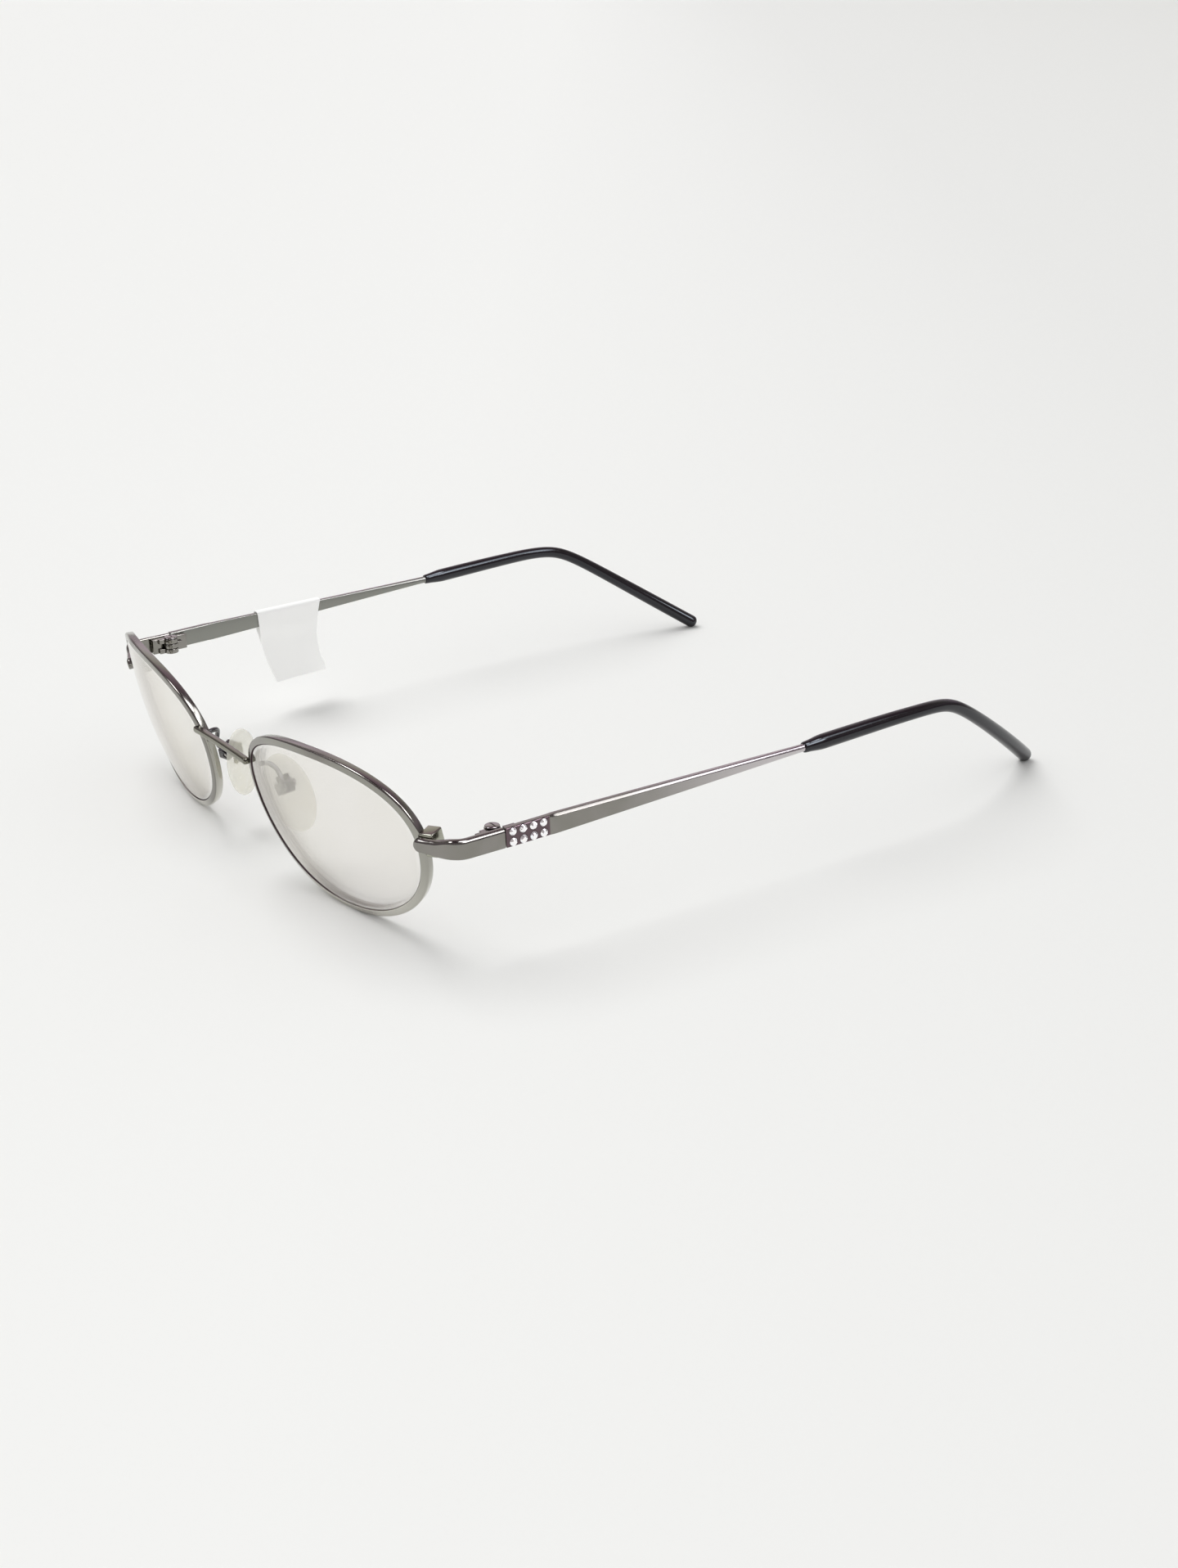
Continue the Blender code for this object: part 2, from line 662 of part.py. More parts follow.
def pad_frame():
    """Frame on the left pad's pivot: X forwards along its screw, Y away from the nose, Z up the pad."""
    upright = Vector((-math.sin(PAD_FLARE), -math.sin(FACE_LEAN), math.cos(PAD_FLARE))).normalized()
    backward = Vector((math.sin(PAD_SPLAY), math.cos(PAD_SPLAY), 0))
    backward = (backward - upright * backward.dot(upright)).normalized()
    outward = backward.cross(upright)
    pivot = PAD_CENTRE + upright * PIVOT_RISE + outward * (PAD_THICKNESS / 2 + PIVOT_STAND)
    return axes_frame(-backward, outward, upright, pivot)


def across_screw():
    """Frame whose Z runs along the pad's screw, towards the back."""
    return Matrix.Rotation(math.radians(-90), 4, "Y")


def make_nose_pad():
    """Soft oval pad with a pocket in its back for the tab's foot."""
    layers = ((-0.5, 0.6), (-0.38, 0.84), (-0.15, 0.97), (0.1, 1), (0.38, 0.95), (0.5, 0.86))
    centre = Vector((0, -PAD_THICKNESS / 2 - PIVOT_STAND, -PIVOT_RISE))
    rings = []
    for height, full in layers:
        ring = []
        for i in range(24):
            angle = math.tau * i / 24
            across = PAD_WIDTH / 2 * full * math.cos(angle)
            up = PAD_LENGTH / 2 * full * math.sin(angle)
            ring.append(centre + Vector((across, height * PAD_THICKNESS, up)))
        rings.append(ring)
    piece = add_piece("nose_pad_left", loft(rings))
    side = FOOT_WIDTH / 2 + GAP
    up = FOOT_LENGTH / 2 + GAP
    depth = PIVOT_STAND + FOOT_DEPTH + GAP
    combine(piece, "DIFFERENCE", box((-side, -depth, -up), (side, 0, up)))
    return place(piece, pad_frame())


def make_pad_tab():
    """Tab that stands in the pad's pocket and swings on the screw in the box."""
    half = TAB_THICKNESS / 2
    foot_low = (-FOOT_WIDTH / 2, -PIVOT_STAND - FOOT_DEPTH, -FOOT_LENGTH / 2)
    foot_high = (FOOT_WIDTH / 2, -PIVOT_STAND, FOOT_LENGTH / 2)
    piece = add_piece("pad_tab_left", box(foot_low, foot_high))
    combine(piece, "UNION", box((-half, -PIVOT_STAND - FOOT_DEPTH / 2, -TAB_RADIUS), (half, 0, TAB_RADIUS)))
    combine(piece, "UNION", cylinder(TAB_RADIUS, TAB_THICKNESS, across_screw()))
    combine(piece, "DIFFERENCE", cylinder(PAD_PIN_RADIUS + PIN_PLAY, 2 * TAB_THICKNESS, across_screw()))
    return place(piece, pad_frame())


def box_half_width():
    """Half of a pad box's width along the screw."""
    return TAB_THICKNESS / 2 + BOX_PLAY + BOX_CHEEK


def box_back():
    """Distance from the screw to the far side of a pad box."""
    return TAB_RADIUS + 2 * BOX_PLAY + BOX_WEB


def make_pad_box():
    """Box open towards the pad, with a cheek on each side of the tab."""
    half = box_half_width()
    up = BOX_HEIGHT / 2
    piece = add_piece("pad_box_left", box((-half, -BOX_LIP, -up), (half, box_back(), up)))
    slot = TAB_THICKNESS / 2 + BOX_PLAY
    room = box((-slot, -2 * BOX_LIP, -2 * up), (slot, TAB_RADIUS + 2 * BOX_PLAY, 2 * up))
    combine(piece, "DIFFERENCE", room)
    combine(piece, "DIFFERENCE", cylinder(PAD_PIN_RADIUS + PIN_PLAY, 4 * half, across_screw()))
    return place(piece, pad_frame())


def make_pad_screw():
    """Small screw through the box and the tab, with its head at the back."""
    length = 2 * box_half_width()
    piece = make_screw("pad_screw_left", PAD_PIN_RADIUS, PAD_HEAD_RADIUS, PAD_HEAD_HEIGHT, length)
    lift = Matrix.Translation((0, 0, box_half_width() + GAP))
    return place(piece, pad_frame() @ across_screw() @ lift)


def make_pad_arm():
    """Bent wire from the back of the rim to the far side of the pad box."""
    start = face_point(ARM_ANGLE, RIM_FACE / 2, RIM_DEPTH + GAP)
    backward = (start - face_point(ARM_ANGLE, RIM_FACE / 2, 0)).normalized()
    end = pad_frame() @ Vector((0, box_back() + GAP, 0))
    outward = pad_frame().to_3x3() @ Vector((0, 1, 0))
    curve = bpy.data.curves.new("pad_arm_left", "CURVE")
    curve.dimensions = "3D"
    curve.resolution_u = 10
    curve.bevel_depth = ARM_RADIUS
    curve.bevel_resolution = 2
    curve.use_fill_caps = True
    spline = curve.splines.new("BEZIER")
    spline.bezier_points.add(1)
    first, last = spline.bezier_points
    first.co = start
    first.handle_left = start - backward * ARM_BACK
    first.handle_right = start + backward * ARM_BACK
    last.co = end
    last.handle_left = end + outward * ARM_CURL
    last.handle_right = end - outward * ARM_CURL
    piece = bpy.data.objects.new("pad_arm_left", curve)
    PARTS.objects.link(piece)
    return piece


def make_paper_tag():
    """Strip of paper folded over the temple, with its two leaves almost closed below it."""
    columns = spaced(0, 1, 7)
    room = TEMPLE_THICKNESS / 2 + TAG_ROOM + TAG_PAPER / 2
    along_middle = TAG_START + TAG_WIDTH / 2
    centre = temple_point(along_middle)
    top = temple_point(TAG_START).z + temple_section(TAG_START)[2][1] + TAG_ROOM + TAG_PAPER / 2
    below = (centre.z - temple_section(TAG_START)[2][1] - TAG_ROOM - top) / -TAG_DROP
    fold = [(room * math.sin(angle), top + room * (math.cos(angle) - 1) / 2)
            for angle in spaced(-math.pi / 3, math.pi / 3, 5)]
    bm = bmesh.new()
    rows = []
    falls = (1, 0.85, 0.7, 0.55, below + 0.1, below, 0.05)
    profile = [(-1, fall) for fall in falls] + [(0, point) for point in fold]
    profile += [(1, fall) for fall in falls[::-1]]
    for leaf, value in profile:
        row = []
        for across in columns:
            along = TAG_START + TAG_WIDTH * across
            if leaf == 0:
                side, height = value
                row.append(bm.verts.new((centre.x + side, along, height)))
                continue
            closing = min(max((value - below) / (1 - below), 0), 1)
            spread = room + (TAG_CLOSED - room) * min(closing * 3, 1)
            curl = TAG_CURL * closing ** 2 * across
            slant = TAG_SLANT * value ** 2 * (1 - across)
            row.append(bm.verts.new((centre.x + leaf * spread + curl, along + slant, top - TAG_DROP * value)))
        rows.append(row)
    for row, after in zip(rows, rows[1:]):
        for j in range(len(columns) - 1):
            bm.faces.new((row[j], row[j + 1], after[j + 1], after[j]))
    piece = add_piece("tag_pattern", bm)
    sheet = piece.modifiers.new("paper", "SOLIDIFY")
    sheet.thickness = TAG_PAPER
    sheet.offset = 0
    return piece


def mirrored(piece, name, keep=True):
    """Copy of a finished piece on the other side of the glasses."""
    evaluated = piece.evaluated_get(bpy.context.evaluated_depsgraph_get())
    mesh = bpy.data.meshes.new_from_object(evaluated)
    mesh.transform(Matrix.Scale(-1, 4, (1, 0, 0)) @ piece.matrix_world)
    mesh.flip_normals()
    bm = bmesh.new()
    bm.from_mesh(mesh)
    bmesh.ops.remove_doubles(bm, verts=bm.verts, dist=MERGE)
    bpy.data.meshes.remove(mesh)
    if not keep:
        bpy.data.objects.remove(piece)
    return add_piece(name, bm)


def add_axis(name, spot, parent=None):
    """Empty on a joint's axis, or for the whole object."""
    empty = bpy.data.objects.new(name, None)
    empty.empty_display_size = TEMPLE_HEIGHT
    PARTS.objects.link(empty)
    empty.location = spot
    empty.parent = parent
    return empty


def attach(piece, axis, material):
    """Gives a piece its material and hangs it, with its cutters, on an empty."""
    piece.data.materials.clear()
    piece.data.materials.append(material)
    for item in with_cutters(piece):
        item.parent = axis
        item.location -= axis.location
    return piece


gunmetal = make_material("gunmetal", (0.19, 0.18, 0.19), 1.0, 0.22)
screw_steel = make_material("screw_steel", (0.42, 0.42, 0.44), 1.0, 0.3)
tinted_lens = make_material("tinted_lens", (0.72, 0.70, 0.66), 0.0, 0.05, 0.35)
black_plastic = make_material("black_plastic", (0.01, 0.01, 0.012), 0.0, 0.15)
clear_silicone = make_material("clear_silicone", (0.86, 0.84, 0.78), 0.0, 0.25, 0.8)
crystal = make_material("crystal", (0.9, 0.9, 0.95), 0.0, 0.03)
white_paper = make_material("white_paper", (0.85, 0.84, 0.81), 0.0, 0.85)

front_pieces = {
    make_rim(): gunmetal,
    make_lens(): tinted_lens,
    make_closing_block("closing_block_upper_left", SPLIT_GAP / 2, BLOCK_RISE): gunmetal,
    make_closing_block("closing_block_lower_left", -BLOCK_FALL, -SPLIT_GAP / 2): gunmetal,
    make_closing_screw(): screw_steel,
    make_end_piece(): gunmetal,
    make_hinge_half("hinge_front_left", -1, (-1, 1)): gunmetal,
    make_hinge_screw(): screw_steel,
    make_pad_arm(): gunmetal,
    make_pad_box(): gunmetal,
    make_pad_screw(): screw_steel,
}
pad_pieces = {
    make_nose_pad(): clear_silicone,
    make_pad_tab(): black_plastic,
}
temple_pieces = {
    make_temple_bar(): gunmetal,
    make_hinge_half("hinge_temple_left", 1, (0,)): gunmetal,
    make_temple_tip(): black_plastic,
}
temple_pieces.update((stone, crystal) for stone in make_crystals())
bridge = make_bridge()
tag = make_paper_tag()
bpy.context.view_layer.update()

front = add_axis("front", (0, 0, 0))
flip = Matrix.Scale(-1, 3, (1, 0, 0))
pad_pivot = pad_frame().translation
axes = {
    "left": (front, add_axis("pad_left", pad_pivot, front), add_axis("temple_left", hinge_axis(), front)),
    "right": (
        front,
        add_axis("pad_right", flip @ pad_pivot, front),
        add_axis("temple_right", flip @ hinge_axis(), front),
    ),
}
groups = (front_pieces, pad_pieces, temple_pieces)
right_groups = []
for pieces in groups:
    copies = {mirrored(piece, piece.name.replace("_left", "_right")): finish
              for piece, finish in pieces.items()}
    right_groups.append(copies)
for side, side_groups in (("left", groups), ("right", right_groups)):
    for axis, pieces in zip(axes[side], side_groups):
        for piece, finish in pieces.items():
            attach(piece, axis, finish)
attach(bridge, front, gunmetal)
attach(mirrored(tag, "paper_tag", keep=False), axes["right"][2], white_paper)
bpy.context.view_layer.update()

corners = [piece.matrix_world @ Vector(corner) for piece in PARTS.objects if piece.type != "EMPTY"
           for corner in piece.bound_box]
front.location.y = -(min(corner.y for corner in corners) + max(corner.y for corner in corners)) / 2
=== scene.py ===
"""Looks of the oval sunglasses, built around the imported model. Metres, +Z up, lenses towards -Y."""

import json
from math import copysign, cos, hypot, pi, radians, sin, tan, tau

import bmesh
import bpy
from mathutils import Matrix, Vector


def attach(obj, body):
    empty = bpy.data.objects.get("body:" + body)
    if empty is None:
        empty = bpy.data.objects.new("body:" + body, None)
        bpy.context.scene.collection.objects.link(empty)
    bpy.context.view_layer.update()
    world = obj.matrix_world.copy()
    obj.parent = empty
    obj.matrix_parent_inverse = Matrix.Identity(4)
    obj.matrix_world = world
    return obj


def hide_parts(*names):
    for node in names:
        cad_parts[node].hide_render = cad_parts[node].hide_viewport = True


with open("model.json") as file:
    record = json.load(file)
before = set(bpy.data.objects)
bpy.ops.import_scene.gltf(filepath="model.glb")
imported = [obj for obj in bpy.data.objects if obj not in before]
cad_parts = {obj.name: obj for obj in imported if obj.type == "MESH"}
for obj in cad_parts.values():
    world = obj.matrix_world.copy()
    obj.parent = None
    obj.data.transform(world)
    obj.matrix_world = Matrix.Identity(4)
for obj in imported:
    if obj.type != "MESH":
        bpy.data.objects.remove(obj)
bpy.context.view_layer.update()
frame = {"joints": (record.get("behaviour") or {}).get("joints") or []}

SCENE = bpy.context.scene
UP = Vector((0, 0, 1))

# Sizes of the part, in its own frame before it was centred on the ground
LENS_WIDTH = 0.04675
LENS_HEIGHT = 0.0299
LENS_FULLNESS = 2.21
LENS_TOP_SPREAD = 0.088
NOSE_SPAN = 0.0213
FACE_RADIUS = 0.0755
FACE_WRAP = 0.143
FACE_LEAN = radians(12.6)
GAP = 0.00012
PIN_PLAY = 0.00008
REST_CUT = 0.00015
RIM_FACE = 0.0014
RIM_DEPTH = 0.0016
GROOVE_DEPTH = 0.0005
GROOVE_WIDTH = 0.0010
LENS_THICKNESS = 0.00115
SPLIT_ANGLE = radians(5.8)
SPLIT_GAP = 0.0003
BLOCK_REACH = 0.0018
BLOCK_DEPTH = 0.0027
BLOCK_RISE = 0.0034
BLOCK_FALL = 0.0013
BRIDGE_ANGLE = radians(158.8)
BRIDGE_DEPTH = 0.0018
BRIDGE_LAP = 0.0013
BRIDGE_ARCH = 0.0002
TEMPLE_REACH = 0.0089
TEMPLE_SIDE = NOSE_SPAN / 2 + LENS_WIDTH + TEMPLE_REACH
TEMPLE_SPREAD = 0.0006
TEMPLE_LEVEL = 0.02065
TEMPLE_CLIMB = 0.0158
TEMPLE_START = 0.0179
TEMPLE_HEIGHT = 0.0035
TEMPLE_THICKNESS = 0.0013
TAPER_START = 0.0272
TAPER_END = 0.0780
TAPER_EASE = 1.1
WIRE_RADIUS = 0.0007
MOUTH_PLACE = 0.0790
MOUTH_TAPER = 0.0045
CURL_PLACE = 0.1030
BEND_PLACE = 0.1136
BEND_SOFTNESS = 0.0047
TIP_PLACE = 0.1429
WIRE_SHORT = 0.0116
WIRE_END = TIP_PLACE - WIRE_SHORT
TIP_CLIMB = 0.0203
TIP_INSET = 0.0113
MOUTH_RADIUS = 0.0010
SWELL_RADIUS = 0.00138
BEND_RADIUS = 0.0012
TIP_RADIUS = 0.0014
END_PIECE_HEIGHT = 0.0034
END_PIECE_FRONT_HEIGHT = 0.0024
END_PIECE_THICKNESS = 0.0013
END_PIECE_LAP = 0.0012
END_PIECE_RISE = 0.0016
END_PIECE_STRAIGHT = 0.0030
END_PIECE_TURN = 0.0112
HINGE_INSET = 0.0024
HINGE_PLACE = 0.0171
HINGE_DROP = 0.0002
HINGE_HEIGHT = 0.0030
KNUCKLE_RADIUS = 0.0014
KNUCKLE_PLAY = 0.0001
LEAF_THICKNESS = 0.0010
LEAF_LENGTH = 0.0022
PIN_RADIUS = 0.0005
HINGE_HEAD_RADIUS = 0.0013
CLOSING_HEAD_RADIUS = 0.00065
CLOSING_CLIMB = 0.0022
HEAD_HEIGHT = 0.0004
PAD_PIN_RADIUS = 0.0004
PAD_HEAD_RADIUS = 0.0007
PAD_HEAD_HEIGHT = 0.0003
SLOT_WIDTH = 0.0003
SLOT_DEPTH = 0.00018
THREAD_PITCH = 0.00025
PAD_INSET = 0.00085
PAD_CENTRE = Vector((NOSE_SPAN / 2 - PAD_INSET, 0.0068, 0.0135))
PAD_LENGTH = 0.0152
PAD_WIDTH = 0.0082
PAD_THICKNESS = 0.0022
PAD_SPLAY = radians(28.0)
PAD_FLARE = radians(16.0)
PIVOT_RISE = 0.0020
PIVOT_STAND = 0.0013
TAB_THICKNESS = 0.0010
TAB_RADIUS = 0.0008
FOOT_WIDTH = 0.0024
FOOT_LENGTH = 0.0034
FOOT_DEPTH = 0.0007
BOX_CHEEK = 0.0011
BOX_PLAY = 0.0001
BOX_HEIGHT = 0.0022
BOX_LIP = 0.0007
BOX_WEB = 0.0006
BOX_HALF = TAB_THICKNESS / 2 + BOX_PLAY + BOX_CHEEK
BOX_BACK = TAB_RADIUS + 2 * BOX_PLAY + BOX_WEB
ARM_RADIUS = 0.00045
ARM_ANGLE = radians(163.0)
ARM_BACK = 0.0042
ARM_CURL = 0.0034
CRYSTAL_COLUMNS = 4
CRYSTAL_PITCH = 0.00195
CRYSTAL_ROW_PITCH = 0.0018
CRYSTAL_START = 0.0192
CRYSTAL_RADIUS = 0.00072
CRYSTAL_CROWN = 0.0004
CRYSTAL_PAVILION = 0.00045
CRYSTAL_GIRDLE = 0.00004
CRYSTAL_TURN = 0.9
TAG_START = 0.0378
TAG_WIDTH = 0.0148
TAG_DROP = 0.0166
TAG_ROOM = 0.0003
TAG_PAPER = 0.0002
TAG_CLOSED = 0.0003
TAG_SLANT = 0.0034
TAG_WAVE = 0.0014
TAG_FLARE = 0.0009
TAG_CURL = 0.0013
TAG_SAG = 0.0006
TAG_CREASE = 0.00006

# Finish of the shapes that only the looks need
LEVEL_STEPS = 46
RIM_STEPS = 220
RIM_ROUND = 0.00042
SMALL_ROUND = 0.00015
EDGE_ROUND = 0.00030
BLOCK_ROUND = 0.00028
BAR_ROUND = 0.0004
BOX_ROUND = 0.0003
POCKET_ROUND = 0.0002
KNUCKLE_ROUND = 0.0001
WEB_ROUND = 0.00006
FIT_ROUND = 0.00005
SEAT_ROUND = 0.00004
MOUTH_ROUND = 0.0004
CROWN = 0.00075
CHAMFER = 0.00045
CHAMFER_START = 0.0262
CHAMFER_FULL = 0.0272
GROUND_MARGIN = 0.0011
PALING_START = 0.035
BLOCK_SHIFT = 0.0005
BLOCK_TRIM = 0.0003
BAR_HEIGHT = 0.00125
BAR_DEPTH = 0.0013
BAR_LIFT = 0.0006
BAR_SINK = 0.0006
BAR_TRIM = 0.0002
BEND_LIFT = 0.00024
SMOOTH_ANGLE = radians(40)
MERGE = 0.000001
ANGLE_STEP = 0.001

# Colours and lights, each light with its direction and how near to it the disc starts and is full
GUNMETAL = ((0.250, 0.243, 0.218), (0.280, 0.268, 0.250))
# Painted shade on the floor: its colour darkens into the distance on the right
FLOOR_FALLOFF_STOPS = [(0.0, (0.895, 0.895, 0.878)), (0.28, (0.898, 0.898, 0.882)), (0.36, (0.865, 0.865, 0.850)),
               (0.46, (0.815, 0.815, 0.800)), (1.0, (0.735, 0.735, 0.712))]
ROOM_STOPS = [(0.0, (0.80, 0.78, 0.76)), (0.12, (0.34, 0.31, 0.33)), (0.32, (0.86, 0.70, 0.82)),
              (0.45, (0.80, 0.74, 0.75)), (0.60, (0.62, 0.59, 0.54)), (0.74, (0.42, 0.30, 0.38)),
              (1.0, (0.20, 0.14, 0.16))]
LAMPS = [((0.28, 0.21, 0.935), 0.972, 0.989), ((0.67, 0.32, 0.67), 0.975, 0.99),
         ((-0.27, -0.56, 0.78), 0.98, 0.995)]
LAMP_LIGHT = 9.0
WINDOW_LIGHT = 4.0
FILL_LIGHT = 0.60
SUN_TOWARDS = (-0.62, -0.12, 1.0)
SUN_WIDTH = radians(44)
SUN_LIGHT = 1.52
FLOOR_SIZE = 8

# Camera worked out from the photograph
CAMERA_PLACE = Vector((0.361616, -0.154374, 0.165927))
CAMERA_RIGHT = Vector((0.551707, 0.833109, -0.039361))
CAMERA_DOWN = Vector((0.289584, -0.235601, -0.927703))
CAMERA_AHEAD = Vector((-0.782151, 0.500422, -0.371238))
CAMERA_LENS = 52.6187

joint_places = {joint["name"]: Vector(joint["pos_m"]) for joint in frame["joints"]}
SHIFT = Vector((0, joint_places["left_temple_fold"].y - HINGE_PLACE, 0))
SHIFTED = Matrix.Translation(SHIFT)
MIRRORED = SHIFTED @ Matrix.Diagonal((-1, 1, 1, 1))


def spaced(start, end, count):
    """Evenly spaced values, both ends included."""
    return [start + (end - start) * i / (count - 1) for i in range(count)]


def circle(count, radius=1.0, start=0.0):
    """Points of a circle, the first one a share of a step past the first axis."""
    angles = [tau * (i + start) / count for i in range(count)]
    return [(radius * cos(angle), radius * sin(angle)) for angle in angles]


def faced_out(bm):
    """Shape with its faces turned outwards."""
    bmesh.ops.recalc_face_normals(bm, faces=bm.faces)
    return bm


def join_rings(bm, rings, closed=True):
    """Adds the faces between rings, or open rows, of corners that follow each other."""
    for ring, after in zip(rings, rings[1:]):
        for i in range(len(ring) - 1 + closed):
            k = (i + 1) % len(ring)
            bm.faces.new((ring[i], ring[k], after[k], after[i]))


def skin(rings):
    """Surface through rings of equal length, closed at both ends."""
    bm = bmesh.new()
    rows = [[bm.verts.new(point) for point in ring] for ring in rings]
    join_rings(bm, rows)
    bm.faces.new(rows[0][::-1])
    bm.faces.new(rows[-1])
    return faced_out(bm)


def turned(profile, steps):
    """Surface of (radius, height) points turned about Z, which start and end on the axis."""
    bm = bmesh.new()
    rings = [[bm.verts.new((x, y, height)) for x, y in circle(steps, radius)] for radius, height in profile[1:-1]]
    join_rings(bm, rings)
    for (_, height), ring in ((profile[0], rings[0]), (profile[-1], rings[-1])):
        tip = bm.verts.new((0, 0, height))
        for i in range(steps):
            bm.faces.new((ring[i], ring[(i + 1) % steps], tip))
    return faced_out(bm)


def rounded_polygon(corners):
    """Outline with a fillet at each (x, y, radius, steps) corner."""
    points = []
    for i, (x, y, radius, steps) in enumerate(corners):
        corner = Vector((x, y))
        before = (Vector(corners[i - 1][:2]) - corner).normalized()
        after = (Vector(corners[(i + 1) % len(corners)][:2]) - corner).normalized()
        if steps < 2:
            points.append(corner)
            continue
        half = before.angle(after) / 2
        centre = corner + (before + after).normalized() * radius / sin(half)
        start = corner + before * radius / tan(half) - centre
        end = corner + after * radius / tan(half) - centre
        sweep = start.angle(end)
        for share in spaced(0, 1, steps):
            point = (start * sin((1 - share) * sweep) + end * sin(share * sweep)) / sin(sweep)
            points.append(centre + point)
    return points


def rounded_rectangle(half_side, half_up, radius):
    """Rounded rectangle of (side, up) points."""
    radius = min(radius, half_side * 0.999, half_up * 0.999)
    signs = ((1, -1), (1, 1), (-1, 1), (-1, -1))
    return rounded_polygon([(half_side * x, half_up * y, radius, 6) for x, y in signs])


def crowned_section(half_side, half_up, radius, crown):
    """Rounded rectangle of (side, up) points whose outer top corner is a wide soft curve."""
    side = half_side - radius
    up = half_up - radius
    corners = ((side, -up, radius, -90), (half_side - crown, half_up - crown, crown, 0), (-side, up, radius, 90),
               (-side, -up, radius, 180))
    return [(x + reach * cos(turn), y + reach * sin(turn)) for x, y, reach, start in corners
            for turn in spaced(radians(start), radians(start + 90), 9)]


def chamfered_section(half_side, half_up, radius, chamfer, weight):
    """Rounded rectangle of (side, up) points whose outer top corner is cut off by a weight from 0 to 1."""
    corners = ((half_side, -half_up, 6), (half_side, half_up - chamfer, 3), (half_side - chamfer, half_up, 3),
               (-half_side, half_up, 6), (-half_side, -half_up, 6))
    cut = rounded_polygon([(side, up, EDGE_ROUND / 2, steps) for side, up, steps in corners])
    plain = rounded_rectangle(half_side, half_up, radius)
    return [(side + (spot.x - side) * weight, up + (spot.y - up) * weight) for (side, up), spot in zip(plain, cut)]


def rounded_box(low, high, radius=SMALL_ROUND):
    """Box between two corners with rounded edges."""
    bm = bmesh.new()
    size = Vector(high) - Vector(low)
    middle = Matrix.Translation((Vector(high) + Vector(low)) / 2)
    bmesh.ops.create_cube(bm, size=1, matrix=middle @ Matrix.Diagonal(size.to_4d()))
    bmesh.ops.bevel(bm, geom=bm.edges[:], offset=radius, segments=3, profile=0.5, affect="EDGES")
    return bm


def drum(radius, low, high, rounding=SMALL_ROUND, steps=40):
    """Cylinder about Z with rounded rims."""
    arc = [(rounding * sin(turn), rounding * cos(turn)) for turn in spaced(0, pi / 2, 4)]
    profile = [(0, high)] + [(radius - rounding + out, high - rounding + up) for out, up in arc]
    profile += [(radius - rounding + out, low + rounding - down) for down, out in arc] + [(0, low)]
    return turned(profile, steps)


def to_mesh(bm, name, smooth=True):
    """Turns a shape into a mesh with smooth faces and sharp edges."""
    mesh = bpy.data.meshes.new(name)
    bm.to_mesh(mesh)
    bm.free()
    if smooth:
        mesh.shade_smooth()
        mesh.set_sharp_from_angle(angle=SMOOTH_ANGLE)
    return mesh


def add_object(name, data):
    """New object in the scene."""
    item = bpy.data.objects.new(name, data)
    SCENE.collection.objects.link(item)
    return item


def combined(bm, steps):
    """Joins shapes to a shape, or cuts them from it, and gives the result."""
    base = add_object("base", to_mesh(bm, "base", smooth=False))
    tools = []
    for operation, shape in steps:
        tools.append(add_object("tool", to_mesh(shape, "tool", smooth=False)))
        boolean = base.modifiers.new("combine", "BOOLEAN")
        boolean.operation = operation
        boolean.solver = "EXACT"
        boolean.object = tools[-1]
    evaluated = base.evaluated_get(bpy.context.evaluated_depsgraph_get())
    result = bmesh.new()
    result.from_mesh(bpy.data.meshes.new_from_object(evaluated))
    bmesh.ops.remove_doubles(result, verts=result.verts, dist=MERGE)
    for item in [base] + tools:
        bpy.data.objects.remove(item)
    return result


def show(node_name, bm, body, finished, smooth=True):
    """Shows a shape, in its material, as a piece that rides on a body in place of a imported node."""
    mesh = to_mesh(bm, node_name + "_shape", smooth)
    material, slot_name = finished
    mesh.materials.append(material)
    piece = add_object(mesh.name, mesh)
    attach(piece, body)
    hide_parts(node_name)


def show_pair(name, bm, body, finished, ending="", smooth=True):
    """Shows a left-hand shape and its mirror image in place of a pair of nodes."""
    for side, matrix in (("left", SHIFTED), ("right", MIRRORED)):
        copy = placed(bm.copy(), matrix)
        if side == "right":
            bmesh.ops.reverse_faces(copy, faces=copy.faces)
        show(f"{name}_{side}{ending}", copy, body if body == "front" else f"{body}_{side}", finished, smooth)
    bm.free()


def node(tree, kind, inputs=(), **settings):
    """Outputs of a new node whose inputs are set to values or linked to sockets."""
    made = tree.nodes.new(kind)
    for name, value in settings.items():
        setattr(made, name, value)
    for name, value in dict(inputs).items():
        if isinstance(value, bpy.types.NodeSocket):
            tree.links.new(value, made.inputs[name])
        else:
            made.inputs[name].default_value = value
    return made.outputs


def maths(operation, *values):
    """Result of a sum on sockets and numbers."""
    tree = next(value.id_data for value in values if isinstance(value, bpy.types.NodeSocket))
    return node(tree, "ShaderNodeMath", enumerate(values), operation=operation)["Value"]


def product(first, *others):
    """Product of sockets and numbers."""
    for other in others:
        first = maths("MULTIPLY", first, other)
    return first


def share_along(vector, direction):
    """Part of a vector that goes along a direction."""
    inputs = {0: vector, 1: direction}
    return node(vector.id_data, "ShaderNodeVectorMath", inputs, operation="DOT_PRODUCT")["Value"]


def smooth_step(value, start, end):
    """Value that eases from 0 at start to 1 at end."""
    inputs = {"Value": value, "From Min": start, "From Max": end}
    return node(value.id_data, "ShaderNodeMapRange", inputs, interpolation_type="SMOOTHSTEP")["Result"]


def spread(value, low, high, start=0.3, end=0.7):
    """Value that runs from low to high as another runs from start to end."""
    inputs = {"Value": value, "From Min": start, "From Max": end, "To Min": low, "To Max": high}
    return node(value.id_data, "ShaderNodeMapRange", inputs)["Result"]


